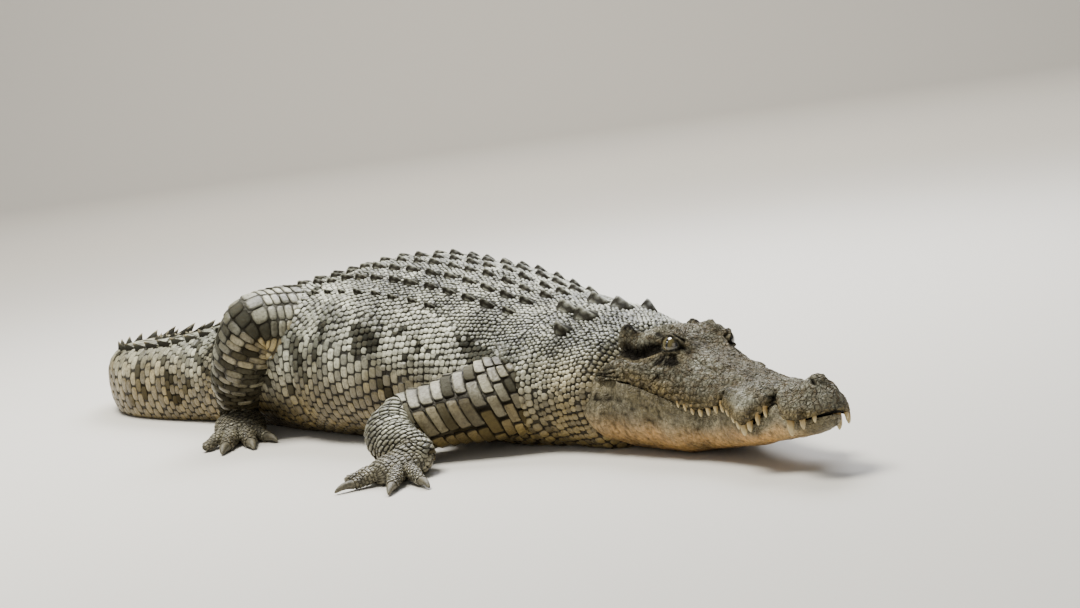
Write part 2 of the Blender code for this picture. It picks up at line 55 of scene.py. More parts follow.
def added(name, data):
    """Puts data into the scene as an object."""
    made = bpy.data.objects.new(name, data)
    bpy.context.scene.collection.objects.link(made)
    return made


def material(name, constants):
    """A new node material, with its tree and its Principled shader, some of whose sockets are set."""
    made = bpy.data.materials.new(name)
    made.use_nodes = True
    shader = made.node_tree.nodes["Principled BSDF"]
    for key, value in constants.items():
        shader.inputs[key].default_value = value
    return made, made.node_tree, shader


def node(tree, kind, sockets=None, **settings):
    """Adds a node: settings are its properties; each socket gets a value or a link from another's output."""
    made = tree.nodes.new("ShaderNode" + kind)
    for key, value in settings.items():
        setattr(made, key, value)
    for key, value in (sockets or {}).items():
        if isinstance(value, bpy.types.NodeSocket):
            tree.links.new(value, made.inputs[key])
        else:
            made.inputs[key].default_value = value
    return made


VIEW_TURN, VIEW_DOWN, VIEW_LEAN = 49.75, 7.08, -7.86  # degrees
FLOOR_FRONT, FLOOR_REAR, FLOOR_SIDE = -20.0, 13.5, 24.0  # how far the floor runs; its rear bends up
BEND, WALL_TOP = 4.0, 9.0  # radius of the bend from floor to wall, and the wall's height
angle = np.linspace(0.0, math.pi / 2, 25)
run = np.concatenate([[FLOOR_FRONT], FLOOR_REAR + BEND * np.sin(angle), [FLOOR_REAR + BEND]])
rise = np.concatenate([[0.0], BEND * (1 - np.cos(angle)), [WALL_TOP]])
ahead = np.array([-math.sin(math.radians(VIEW_TURN)), math.cos(math.radians(VIEW_TURN))])
across = FLOOR_SIDE * np.array([ahead[1], -ahead[0]])
rows = [np.column_stack([run[:, None] * ahead + side * across, rise]) for side in (-1, 1)]
wide = len(run)
corners = [(k, k + wide, k + wide + 1, k + 1) for k in range(wide - 1)]
sweep_mesh = bpy.data.meshes.new("studio_sweep")
sweep_mesh.from_pydata(np.concatenate(rows).tolist(), [], corners)
sweep_mesh.polygons.foreach_set("use_smooth", [True] * len(corners))
matt = {"Base Color": linear("#c9c6be"), "Roughness": 0.9}
sweep_mesh.materials.append(material("pale studio floor", matt)[0])
added("studio_sweep", sweep_mesh)

world = bpy.data.worlds.new("soft room light")
world.use_nodes = True
glow = world.node_tree.nodes["Background"].inputs
glow["Color"].default_value, glow["Strength"].default_value = linear("#e6ebf2"), 0.30
bpy.context.scene.world = world

animal, backdrop = (0.2, -0.05, 0.15), (14.0 * ahead[0], 14.0 * ahead[1], 0.5)
for name, place, target, size, watts, tint in (  # size in metres
    ("window", (-0.7, -1.0, 4.6), animal, 2.0, 520.0, "#fffcf4"),
    ("skylight", (-1.2, 2.2, 3.4), animal, 2.4, 260.0, "#f2f5ff"),
    ("wall", (4.5, -4.0, 1.8), animal, 3.0, 40.0, "#fff2e2"),
    ("backdrop", (6.5 * ahead[0], 6.5 * ahead[1], 9.0), backdrop, 8.0, 1700.0, "#fff8ee"),
):
    lamp = bpy.data.lights.new(name, "AREA")
    lamp.size, lamp.energy, lamp.color = size, watts, linear(tint)[:3]
    light = added(name, lamp)
    light.location = place
    way = np.array(target) - place
    down = math.atan2(math.hypot(way[0], way[1]), -way[2])
    light.rotation_euler = (down, 0.0, math.atan2(-way[0], way[1]))

lens = bpy.data.cameras.new("camera")
lens.lens, lens.sensor_width = 70.0, 36.0
camera = added("camera", lens)
camera.location = (3.855, -2.937, 0.835)
camera.rotation_mode = "QUATERNION"
turned = Matrix.Rotation(math.radians(VIEW_TURN), 3, "Z")
turned = turned @ Matrix.Rotation(math.radians(90 - VIEW_DOWN), 3, "X")
camera.rotation_quaternion = (turned @ Matrix.Rotation(math.radians(VIEW_LEAN), 3, "Z")).to_quaternion()
bpy.context.scene.camera = camera

# ------------------------------
# Trunk, neck and tail: the flesh is one loft along the spine line, swollen where limbs join it and folded
# where they crease it. The skin lies a coat's depth inside the flesh, and the scales fill that depth.

HEAD = 0.60  # skull length
COAT = 0.0035  # how deep the skin lies under the scales
UNDER = 0.03  # how far the body would reach below the floor, had the floor not pressed it flat
LOWEST = 0.0015  # the skin's lowest height, under which only scales touch the floor
TRUNK_MIDDLE = 0.75
SPINE = (  # stretches of the spine line: length, and turn in degrees
    (0.33, 11.0),
    (0.42, 2.3),
    (0.45, 10.5),
    (0.28, 1.0),
    (0.20, -4.0),
    (0.72, -116.0),
    (0.60, -62.0),
    (0.65, 6.0),
)
SECTIONS = (  # distance behind the skull table, half width, back's height, widest place's height, squareness
    (-0.15, 0.110, 0.215, 0.110, 2.1),
    (-0.05, 0.148, 0.236, 0.115, 2.1),
    (0.12, 0.200, 0.262, 0.120, 2.1),
    (0.33, 0.235, 0.305, 0.125, 2.2),
    (0.55, 0.275, 0.355, 0.130, 2.3),
    (0.82, 0.305, 0.378, 0.135, 2.4),
    (1.05, 0.275, 0.350, 0.130, 2.4),
    (1.22, 0.210, 0.310, 0.130, 2.3),
    (1.42, 0.152, 0.250, 0.112, 2.4),
    (1.65, 0.120, 0.208, 0.095, 2.5),
    (2.05, 0.088, 0.168, 0.078, 2.6),
    (2.50, 0.060, 0.138, 0.064, 2.6),
    (2.95, 0.038, 0.104, 0.048, 2.5),
    (3.35, 0.021, 0.068, 0.030, 2.3),
    (3.60, 0.008, 0.026, 0.012, 2.0),
)


def column(table, k):
    """One column of a table, along the part."""
    return np.array([row[k] for row in table], float)


def through(at, stations, values):
    """A smooth curve through the stations: cubics, level at each peak, so that it never overshoots."""
    x, y = np.asarray(stations, float), np.asarray(values, float)
    rise = np.diff(y) / np.diff(x)
    before, after = rise[:-1], rise[1:]
    same = before * after > 0
    mean = np.where(same, 2 * before * after / np.where(same, before + after, 1.0), 0.0)
    slope = np.concatenate([rise[:1], mean, rise[-1:]])
    at = np.clip(np.asarray(at, float), x[0], x[-1])
    i = np.clip(np.searchsorted(x, at, side="right") - 1, 0, len(x) - 2)
    step = x[i + 1] - x[i]
    t = (at - x[i]) / step
    low = y[i] * (1 + 2 * t) * (1 - t) ** 2 + y[i + 1] * t * t * (3 - 2 * t)
    return low + step * slope[i] * t * (1 - t) ** 2 - step * slope[i + 1] * t * t * (1 - t)


def read_off(table, at, *columns):
    """Columns of a table at places along the part, off smooth curves through its rows; one of them if one is
    asked for."""
    curves = [through(at, column(table, 0), column(table, k)) for k in columns]
    return curves if len(curves) > 1 else curves[0]


def curved(at, run, points):
    """Points on a smooth line through the given ones, which lie at distances run along it."""
    return np.stack([through(at, run, points[:, k]) for k in range(3)], 1)


def spine_line(step=0.01):
    """Distances behind the skull table, the line's place there, and the way the animal faces, in radians."""
    ends = np.cumsum([0.0] + [length for length, _ in SPINE])
    turns = np.radians(np.cumsum([0.0] + [turned for _, turned in SPINE]))
    back = np.arange(ends[0], ends[-1] + step / 2, step)
    facing = through(back, ends, turns)
    facing -= np.interp(TRUNK_MIDDLE, back, facing)
    steps = np.stack([np.cos(facing), np.sin(facing)], 1) * step
    place = np.concatenate([[[0.0, 0.0]], -np.cumsum((steps[1:] + steps[:-1]) / 2, axis=0)])
    middle = [np.interp(TRUNK_MIDDLE, back, place[:, k]) for k in (0, 1)]
    return back, place - middle, facing


SPINE_BACK, SPINE_PLACE, SPINE_FACING = spine_line()


def on_spine(back, left=0.0, up=0.0):
    """A point so far behind the skull table, to the left of the spine line and above the floor."""
    facing = np.interp(back, SPINE_BACK, SPINE_FACING)
    ahead = np.minimum(back, 0.0)
    x = np.interp(back, SPINE_BACK, SPINE_PLACE[:, 0]) - ahead * np.cos(facing) - left * np.sin(facing)
    y = np.interp(back, SPINE_BACK, SPINE_PLACE[:, 1]) - ahead * np.sin(facing) + left * np.cos(facing)
    return np.stack(np.broadcast_arrays(x, y, up), -1)


def ramp(x, low, high):
    """From 0 where x is low to 1 where it is high, level at both; low may be the larger, for a fall."""
    t = np.clip((x - low) / (high - low), 0.0, 1.0)
    return t * t * (3 - 2 * t)


def bell(x, middle, reach):
    """1 at the middle, falling off smoothly over about the reach to either side."""
    return np.exp(-(((x - middle) / reach) ** 2))


def hashed(cell, seed):
    """Numbers from 0 to 1, scattered but always the same, for whole-number cells."""
    cell = np.floor(cell).astype(np.int64).astype(np.uint64)
    one, two, whole = 2246822519, 3266489917, 0xFFFFFFFF
    key = cell[..., 0] * 374761393 + cell[..., 1] * 668265263 + cell[..., 2] * one + seed * two
    key = key & whole
    key = ((key ^ (key >> 15)) * one) & whole
    key = ((key ^ (key >> 13)) * two) & whole
    return (key ^ (key >> 16)) / (whole + 1.0)


def cloud(place, size, seed=1):
    """Smooth noise from -1 to 1, in lumps of about the size: numbers at lattice corners, eased between."""
    scaled = np.asarray(place) / size + 1000.0
    cell = np.floor(scaled)
    t = scaled - cell
    t = t * t * (3 - 2 * t)
    total = 0.0
    for corner in np.ndindex(2, 2, 2):
        share = np.prod(np.where(corner, t, 1 - t), axis=-1)
        total = total + share * hashed(cell + corner, seed)
    return 2 * total - 1


def cracks(place, size, seed=1):
    """Distance from points to the nearest border between scattered cells: 0 at a border, about 0.5 inside."""
    scaled = np.asarray(place) / size + 1000.0
    cell = np.floor(scaled)
    first = np.full(scaled.shape[:-1], 9.0)
    second = first.copy()
    for corner in np.ndindex(3, 3, 3):
        other = cell + corner - 1
        spot = other + 0.12 + 0.76 * np.stack([hashed(other, seed + k) for k in (1, 2, 3)], -1)
        far = np.linalg.norm(scaled - spot, axis=-1)
        second = np.where(far < first, first, np.minimum(second, far))
        first = np.minimum(first, far)
    return (second - first) / 2


def faces_out(place, middle):
    """Unit normals of a grid of points, turned away from the line of middles."""
    out = np.cross(np.gradient(place, axis=0), np.gradient(place, axis=1))
    out /= np.maximum(np.linalg.norm(out, axis=-1, keepdims=True), 1e-9)
    return out * (1.0 if np.mean(np.sum(out * (place - middle), -1)) > 0 else -1.0)


def above(place, least=LOWEST):
    """Points raised to the least height wherever they are lower."""
    place[..., 2] = np.maximum(place[..., 2], least)
    return place


def blotches(place):
    """Where the hide is dark: clouds of two sizes, from 0 to 1 where they are thickest."""
    return 0.62 * cloud(place, 0.070, 52) + 0.62 * cloud(place, 0.032, 53)


SHADES = ("pale", "ochre", "mark", "edge", "bone")


def surface(u, v, place, middle, chart, wraps, **numbers):
    """A grid surface that scales can be set on: its parameters, points, normals, where its patch lies on the
    bake map (x, y, width, height), whether it closes on itself round v, and numbers for its colours: pale,
    ochre, mark (dark blotches), edge (dark seams, and painted shade in creases), bone (rough skin over bone)
    and painted light and shade (paler or darker by so much), each 0 where it isn't given."""
    face = {"u": u, "v": v, "at": place, "out": faces_out(place, middle), "chart": chart, "wraps": wraps}
    for key in (*SHADES, "lit"):
        face[key] = np.broadcast_to(np.asarray(numbers.get(key, 0.0), float), place.shape[:2])[..., None]
    return face


def limb_gap(place, line, thick):
    """Distance from points to a limb's surface, less than 0 inside: to its nearest ball along its line."""
    gap = np.full(place.shape[:-1], 9.0)
    for middle, radius in zip(line, thick):
        gap = np.minimum(gap, np.linalg.norm(place - middle, axis=-1) - radius)
    return gap


HAND, FOOT = (0.105, 0.052), (0.135, 0.064)  # length and half width of palm and sole
# Each joint: how far behind the skull's table and out from the spine in the right arm, then in the left arm,
# and its height and half thickness, which both arms share.
ARM_JOINTS = (
    (0.19, 0.10, 0.20, 0.10, 0.125, 0.078),
    (0.27, 0.22, 0.31, 0.225, 0.110, 0.075),
    (0.365, 0.305, 0.43, 0.310, 0.092, 0.069),
    (0.415, 0.362, 0.505, 0.368, 0.079, 0.064),
    (0.395, 0.408, 0.500, 0.416, 0.068, 0.057),
    (0.335, 0.428, 0.455, 0.442, 0.056, 0.048),
    (0.262, 0.434, 0.390, 0.455, 0.040, 0.041),
)
FRONT_LEG = [(*row[:2], *row[4:]) for row in ARM_JOINTS]
LEFT_FRONT_LEG = [row[2:] for row in ARM_JOINTS]
HIND_LEG = (  # behind the skull's table, out from the spine, height, half thickness
    (1.10, 0.05, 0.160, 0.080),
    (1.085, 0.14, 0.215, 0.092),
    (1.07, 0.215, 0.262, 0.088),
    (1.085, 0.278, 0.274, 0.076),
    (1.150, 0.290, 0.195, 0.066),
    (1.235, 0.245, 0.070, 0.048),
)
LEFT_KNEE = 0.92  # the left knee is this much lower than the right one
PALM_JOINTS = ((0.30, 0.034, 0.86), (0.62, 0.024, 0.52))  # share of the palm, height, share of the wrist
STANCE = {  # joints, side, how low they are pressed, which way the palm points in degrees, palm
    "front_right": (FRONT_LEG, -1, 1.0, -98.0, HAND),
    "front_left": (LEFT_FRONT_LEG, 1, 1.0, 66.0, HAND),
    "hind_right": (HIND_LEG, -1, 1.0, -34.0, FOOT),
    "hind_left": (HIND_LEG, 1, LEFT_KNEE, 34.0, FOOT),
}


def heading(turned):
    """The level unit vector turned so many radians to the left of +X."""
    return np.array([math.cos(turned), math.sin(turned), 0.0])


def limb_line(table, side, low, turned, palm, steps=56):
    """A limb's line as points, its half thickness there and the run along it, on into the palm's middle."""
    joints = on_spine(column(table, 0), side * column(table, 1), column(table, 2))
    joints[:-1, 2] *= low
    ahead = heading(math.radians(turned)) * palm[0]
    inside = [joints[-1] * (1, 1, 0) + ahead * share + (0, 0, up) for share, up, _ in PALM_JOINTS]
    joints = np.concatenate([joints, inside])
    thick = np.concatenate([column(table, 3), table[-1][3] * column(PALM_JOINTS, 2)])
    run = np.concatenate([[0.0], np.cumsum(np.linalg.norm(np.diff(joints, axis=0), axis=1))])
    at = np.linspace(0.0, run[-1], steps)
    return curved(at, run, joints), through(at, run, thick), at


LIMBS = {name: limb_line(*row) for name, row in STANCE.items()}
JOIN = 0.07  # how far from a limb the flesh starts to swell towards it
FOLDS = (  # depth, pitch, middle and reach along the body: behind the arm, before the thigh, at the neck
    (0.0050, 0.052, 0.50, 0.08),
    (0.0055, 0.060, 0.98, 0.07),
    (0.0055, 0.070, 0.17, 0.08),
)


def joined_to(gap):
    """How far flesh swells towards a neighbour at such a distance."""
    return JOIN / 4 * np.clip(1 - np.abs(gap) / JOIN, 0, 1) ** 2


def body_ring(back, share, grow=0.0):
    """Points round the body: share runs from 0 at the back's ridge down the right side and on to 1."""
    half, top, widest, square = read_off(SECTIONS, back, 1, 2, 3, 4)
    angle = ROUND * share
    side, height = np.sin(angle), np.cos(angle)
    across = -np.sign(side) * np.abs(side) ** (2 / square) * (half + grow)
    lift = np.abs(height) ** (2 / square)
    up = np.where(height > 0, widest + lift * (top + grow - widest), widest - lift * (widest + UNDER))
    return on_spine(back, across, up)


def flank_folds(back, share, place):
    """How far the skin stands out or in: soft folds behind the arm, before the thigh and round the neck, and
    the lumps of a heavy body."""
    side = np.sin(ROUND * share) ** 2
    low = ramp(place[..., 2], 0.30, 0.10)
    wave = 0.35 * cloud(place, 0.11, 5)
    folds = 0.0
    for depth, pitch, middle, reach in FOLDS:
        folds = folds + depth * (np.sin(ROUND * (back / pitch + wave)) * bell(back, middle, reach))
    return side * low * folds + 0.0045 * cloud(place, 0.09, 3) * ramp(back, 1.9, 1.2)


BODY_U = np.concatenate([np.linspace(-0.06, 1.45, 115)[:-1], np.linspace(1.45, 3.60, 110)])
BODY_V = np.linspace(0.0, 1.0, 73)
U, V = np.meshgrid(BODY_U, BODY_V, indexing="ij")
fine_share = np.linspace(0.0, 1.0, 721)
fine_ring = body_ring(BODY_U[:, None], fine_share[None], -COAT)
ring_run = np.cumsum(np.linalg.norm(np.diff(fine_ring, axis=1), axis=-1), axis=1)
ring_run = np.concatenate([np.zeros((len(BODY_U), 1)), ring_run], axis=1)
GIRTH = ring_run[:, -1]  # the way round at each ring
shares = np.stack([np.interp(BODY_V * run[-1], run, fine_share) for run in ring_run])
flesh = body_ring(U, shares, -COAT)
spine_middle = on_spine(BODY_U, 0.0, 0.5 * read_off(SECTIONS, BODY_U, 2))[:, None]
swell = flank_folds(U, shares, flesh)
for line, thick, _ in LIMBS.values():
    swell += joined_to(limb_gap(flesh, line, thick))
swell -= 0.030 * ramp(-U, -0.005, 0.055)
flesh = above(flesh + faces_out(flesh, spine_middle) * swell[..., None])
height = flesh[..., 2]
pale = ramp(-height - 0.03 * cloud(flesh, 0.10, 51), -0.22, -0.03) * (1 - 0.1 * ramp(U, 1.35, 1.60))
pale = np.maximum(pale, 0.55 * ramp(U, 0.22, 0.02) * ramp(height, 0.23, 0.15))
mark = 0.8 * ramp(blotches(flesh), 0.30, 0.50) * ramp(U, 0.20, 0.42)
# Painted shade: the lower flanks of the trunk are darkened, as if in the shade of the body.
lit = -0.48 * ramp(np.minimum(BODY_V, 1 - BODY_V), 0.19, 0.30) * bell(BODY_U, 0.85, 0.55)[:, None]
told = {"pale": pale, "mark": mark, "edge": 0.9, "lit": lit}
BODY = surface(BODY_U, BODY_V, flesh, spine_middle, (0.0, 0.0, 1.0, 0.36), True, **told)

# ------------------------------
# Head: skull and lower jaw, each a loft of half rings that meet at the wavy line of the mouth. The bone shows
# through thin skin as the table, the brows, the ridges of the snout, the swells over the teeth and the nose.

SKULL = (  # ahead of the skull table's back edge, half width, dome's height, mouth's height, in skull lengths
    (-0.10, 0.236, 0.310, 0.245),
    (-0.02, 0.256, 0.332, 0.250),
    (0.08, 0.250, 0.345, 0.252),
    (0.17, 0.230, 0.352, 0.240),
    (0.27, 0.202, 0.350, 0.205),
    (0.37, 0.176, 0.320, 0.165),
    (0.47, 0.156, 0.282, 0.140),
    (0.575, 0.140, 0.252, 0.152),
    (0.64, 0.142, 0.234, 0.122),
    (0.712, 0.152, 0.224, 0.092),
    (0.77, 0.122, 0.215, 0.120),
    (0.815, 0.092, 0.209, 0.150),
    (0.88, 0.106, 0.206, 0.104),
    (0.935, 0.102, 0.200, 0.098),
    (0.975, 0.080, 0.180, 0.103),
    (0.992, 0.056, 0.162, 0.108),
    (1.000, 0.034, 0.143, 0.113),
    (1.004, 0.010, 0.124, 0.116),
)
JAW = (  # ahead, half width, underside's height
    (-0.20, 0.250, 0.135),
    (-0.15, 0.300, 0.080),
    (-0.04, 0.296, 0.018),
    (0.08, 0.266, 0.006),
    (0.26, 0.210, -0.004),
    (0.47, 0.134, 0.008),
    (0.70, 0.116, 0.024),
    (0.83, 0.086, 0.040),
    (0.93, 0.070, 0.055),
    (0.968, 0.052, 0.065),
    (0.982, 0.034, 0.076),
    (0.990, 0.010, 0.098),
)
TEETH_ABOVE = (  # ahead, length, thickness, in skull lengths
    (0.978, 0.020, 0.015),
    (0.950, 0.034, 0.020),
    (0.892, 0.058, 0.026),
    (0.862, 0.018, 0.015),
    (0.782, 0.024, 0.016),
    (0.758, 0.030, 0.019),
    (0.732, 0.034, 0.022),
    (0.702, 0.042, 0.026),
    (0.670, 0.035, 0.021),
    (0.640, 0.031, 0.018),
    (0.610, 0.027, 0.017),
    (0.578, 0.027, 0.018),
    (0.542, 0.027, 0.019),
    (0.506, 0.027, 0.019),
    (0.470, 0.026, 0.018),
    (0.436, 0.023, 0.016),
    (0.404, 0.020, 0.015),
    (0.375, 0.016, 0.013),
)
TEETH_BELOW = ((0.822, 0.040, 0.022),)
HEAD_BACK, HEAD_RISE, HEAD_TILT, HEAD_ROLL = -0.05, -0.013, 6.0, -5.4
NOTCH_AT, SWELL_AT, NOSE_AT = 0.803, 0.69, 0.90  # the notch, the swell of the longest teeth, the nose
EYE_AT, EYE = np.array([0.268, 0.094, 0.346]), 0.039  # the eyeball's middle and radius, in skull lengths
LIP = np.array([0.012, 0.030, 0.055, 0.090])  # how far the lips run in under the mouth's edge
RELIEF = (  # mounds on the skull: middle ahead and aside, spread ahead and aside, height
    (0.035, 0.136, 0.05, 0.022, 0.034),  # horns of the table
    (0.270, 0.084, 0.075, 0.028, 0.046),  # brows
    (0.29, 0.0, 0.06, 0.035, -0.012),
    (0.12, 0.178, 0.09, 0.018, -0.018),
    (0.10, 0.215, 0.14, 0.022, 0.016),
    (0.50, 0.058, 0.11, 0.020, 0.014),  # ridges of the snout
    (0.715, 0.110, 0.055, 0.035, 0.018),  # swells over the long teeth
    (0.925, 0.0, 0.040, 0.045, 0.024),  # nose
)


def head_axes():
    """The head's own forward, left and up ways."""
    tilt, roll = math.radians(HEAD_TILT), math.radians(HEAD_ROLL)
    face = SPINE_FACING[0]
    forward = np.array([math.cos(face) * math.cos(tilt), math.sin(face) * math.cos(tilt), math.sin(tilt)])
    level = np.array([-math.sin(face), math.cos(face), 0.0])
    side = level * math.cos(roll) + np.cross(forward, level) * math.sin(roll)
    return forward, side, np.cross(forward, side)


FORWARD, LEFT, UP = head_axes()


def on_head(ahead, left, up):
    """A point given in skull lengths in the head's own frame."""
    ahead, left, up = (np.asarray(v, float)[..., None] * HEAD for v in (ahead, left, up))
    return on_spine(HEAD_BACK, up=HEAD_RISE) + ahead * FORWARD + left * LEFT + up * UP


def head_frame(place):
    """The reverse of on_head: how far ahead, left and up a point is, in skull lengths."""
    away = (np.asarray(place) - on_spine(HEAD_BACK, up=HEAD_RISE)) / HEAD
    return away @ FORWARD, away @ LEFT, away @ UP


def mound(ahead, left, middle, aside, reach, spread, height=1.0):
    """A smooth mound, alike on both sides of the head."""
    return height * np.exp(-(((ahead - middle) / reach) ** 2 + ((np.abs(left) - aside) / spread) ** 2))


def relief(ahead, left):
    """What stands on the skull's dome: its flat table and the mounds."""
    table = ramp(ahead, -0.035, 0.0) * ramp(ahead, 0.34, 0.16) * ramp(-np.abs(left), -0.165, -0.128)
    return sum((mound(ahead, left, *row) for row in RELIEF), 0.064 * table)


def crowded(count, low, high, spots):
    """Numbers from low to high, closer together near each spot (its place, its reach, how much closer)."""
    at = np.linspace(low, high, 4000)
    dense = 1.0 + sum(more * bell(at, spot, reach) for spot, reach, more in spots)
    run = np.concatenate([[0.0], np.cumsum((dense[1:] + dense[:-1]) / 2)])
    return np.interp(np.linspace(0, run[-1], count), run, at)


def gaze_axes(side):
    """An eye's own ways: where it looks, towards the snout, and up over the ball."""
    gaze = FORWARD * 0.34 + LEFT * side * 0.86 + UP * 0.30
    gaze /= np.linalg.norm(gaze)
    fore = FORWARD - gaze * (FORWARD @ gaze)
    fore /= np.linalg.norm(fore)
    over = np.cross(fore, gaze)
    return gaze, fore, over * np.sign(over @ UP)


def eye_middle(side):
    """The middle of the left (1) or right (-1) eyeball."""
    return on_head(EYE_AT[0], side * EYE_AT[1], EYE_AT[2])


def almond_of(place, side):
    """How far out from an eye's middle a point is seen, as a share of the lids' opening, its distance from
    the ball's middle, and the way it lies from there."""
    away = place - eye_middle(side)
    far = np.linalg.norm(away, axis=-1)
    gaze, fore, over = gaze_axes(side)
    way = away / np.maximum(far, 1e-6)[..., None]
    x, y = way @ fore, way @ over
    almond = np.hypot(x / 0.93, (y + 0.10 * x * x + 0.04) / (0.60 - 0.10 * np.abs(x)))
    return np.where(way @ gaze > 0, almond, 9.0), far, way


def lidded(place):
    """The skin drawn round each eyeball: under it inside the almond of the lids, a thick rim over its edges,
    then a furrow and a second fold, and back to its own shape further out."""
    radius = EYE * HEAD
    for side in (-1, 1):
        almond, far, way = almond_of(place, side)
        lid = 0.80 + 0.33 * ramp(almond, 0.84, 0.99) + 0.05 * bell(almond, 1.13, 0.09)
        lid = lid - 0.09 * bell(almond, 1.42, 0.10) + 0.05 * bell(almond, 1.68, 0.12)
        hold = (1 - ramp(almond, 1.15, 2.4)) * (1 - ramp(far / radius, 2.0, 3.0))
        place = eye_middle(side) + way * (far * (1 - hold) + lid * radius * hold)[..., None]
    return place


def beyond(q):
    """How far a share lies below 0 or above 1, and less than 0 between."""
    return np.maximum(-q, q - 1)


def lips_added(shares):
    """The shares of a half ring with those of the lips before and after."""
    return np.concatenate([-LIP[::-1], shares, 1 + LIP])


def skull_rings(ahead, q):
    """Points round the skull from the mouth's right edge over the top to its left. Where q is below 0 or
    above 1 they run on under the lip and in over the palate."""
    half, dome, mouth = read_off(SKULL, ahead, 1, 2, 3)
    angle = math.pi * np.clip(q, 0.0, 1.0)
    inward = np.maximum(beyond(q), 0.0)
    left = -np.cos(angle) * (half - COAT / HEAD)
    rise = np.sin(angle)
    up = mouth + (dome - mouth) * rise**0.9 + relief(ahead, -np.cos(angle) * half) * rise**0.25
    room = ramp(ahead, 1.0, 0.93)
    up = up + room * (0.10 * inward - 0.006 * np.sin(np.clip(inward * 60, 0, math.pi)))
    return on_head(ahead, left * (1 - 2.4 * inward), up)


def tooth_swells(ahead, rise):
    """How far the lip stands out over the root of each upper tooth, in metres."""
    out = 0.0
    for at, _, thick in TEETH_ABOVE:
        if at < 0.97:
            out = out + 0.12 * thick * HEAD * bell(ahead, at, thick * 0.55) * bell(rise, 0.13, 0.17)
    return out


def skull_carving(ahead, left, place, q):
    """How far the skull's skin stands out, in metres: lumps and pits over bone, the swells over the teeth,
    the notch, the slit of the ear, the folds of the cheek, the nostrils and cracks on cheek and lip. With it,
    how dark and how pale each place is: the darkness in the ear's slit, the nostrils, the notch, the folds
    and the creases is painted shade, and that of the cracks and mottles is the skin's own. q runs from 0 at
    the mouth's edge to 0.5 at the crown."""
    rise = np.sin(math.pi * q)
    out = 0.0030 * cloud(place * (1.0, 1.0, 2.2), 0.040, 11)
    out = out + 0.0020 * cloud(place, 0.017, 12) + 0.0013 * cloud(place, 0.008, 13)
    out = out + tooth_swells(ahead, rise)
    out = out + mound(ahead, left, 0.030, 0.134, 0.040, 0.026, 0.007)
    out = out + mound(ahead, left, 0.945, 0.026, 0.034, 0.022, 0.005)
    out = out + 0.0095 * bell(ahead, SWELL_AT, 0.065) * bell(rise, 0.34, 0.22)
    ridge_at = np.where(ahead < -0.02, 0.283 + 2.3 * (ahead + 0.02), 0.283 - 0.27 * (ahead + 0.02))
    ridge = bell(q, ridge_at, 0.020) * ramp(ahead, 0.34, 0.20)
    ear = bell(q, 0.292 - 0.15 * ahead, 0.011 + 0.035 * np.clip(ahead, 0, 1))
    ear = ear * ramp(ahead, -0.02, 0.05) * ramp(ahead, 0.250, 0.222)
    nostril = mound(ahead, left, 0.947, 0.027, 0.013, 0.006)
    notch = bell(ahead, NOTCH_AT, 0.009) * ramp(rise, 0.75, 0.35)
    folds = bell(ahead - 0.05 * rise, 0.572, 0.008) * ramp(rise, 0.62, 0.25)
    folds = folds + 0.7 * bell(ahead - 0.45 * (q - 0.10), 0.285, 0.012) * bell(q, 0.115, 0.05)
    folds = folds + 0.6 * bell(q, 0.335 - 0.25 * (ahead - 0.36), 0.008) * bell(ahead, 0.43, 0.07)
    creases = 0.0
    for low in (0.020, 0.052, 0.088):
        bend = 0.008 * np.sin(40 * ahead + 60 * low)
        crease = bell(q, low + 0.20 * (0.15 - ahead) + bend, 0.008) * ramp(-ahead, -0.22 + low, -0.06)
        creases = creases + crease
    out = out + 0.0045 * ridge - 0.013 * ear - 0.009 * nostril
    out = out - 0.0065 * notch - 0.0035 * folds - 0.0032 * creases
    side = ramp(rise, 0.85, 0.45) * ramp(ahead, 0.60, 0.40)
    wide = 1 - ramp(cracks(place * (1, 1, 1.4), 0.017, 21), 0.0, 0.14)
    fine = 1 - ramp(cracks(place, 0.011, 22), 0.0, 0.20)
    mottle = ramp(cloud(place, 0.013, 23) + 0.7 * cloud(place, 0.006, 24), 0.15, 0.75)
    out = out - 0.0022 * wide * side - 0.0011 * fine * (1 - side) - 0.0012 * mottle * (1 - side)
    # Painted shade in the ear's slit, the nostrils, the notch, the folds and the creases; the cracks and
    # mottles are the skin's own.
    dark = 1.3 * ear + nostril + 0.9 * notch + 0.7 * folds + 0.85 * creases
    dark = dark + 0.52 * wide * side + (0.24 * fine + 0.24 * mottle) * (1 - 0.8 * side)
    horn = bell(ahead, 0.062, 0.050) * bell(q, 0.327, 0.017)
    lips = ramp(rise, 0.38, 0.10) * ramp(ahead, 0.05, 0.20)
    return out, np.clip(dark + 0.8 * horn, 0, 1), np.clip(0.8 * lips + 0.55 * ridge * (1 - ear), 0, 1)


def lid_shades(place):
    """How dark and how pale the skin is round the eyes: dark at the lids' edge, partly its own colour and
    partly painted shade where the lids overhang the ball, painted shade in the furrow outside them, and pale
    on the rim between."""
    dark, light = 0.0, 0.0
    for side in (-1, 1):
        almond, far, _ = almond_of(place, side)
        near = far < 2.4 * EYE * HEAD
        dark = dark + near * (1.0 * bell(almond, 1.00, 0.09) + 0.9 * bell(almond, 1.44, 0.10))
        light = light + near * 0.4 * bell(almond, 1.20, 0.07)
    return dark, light


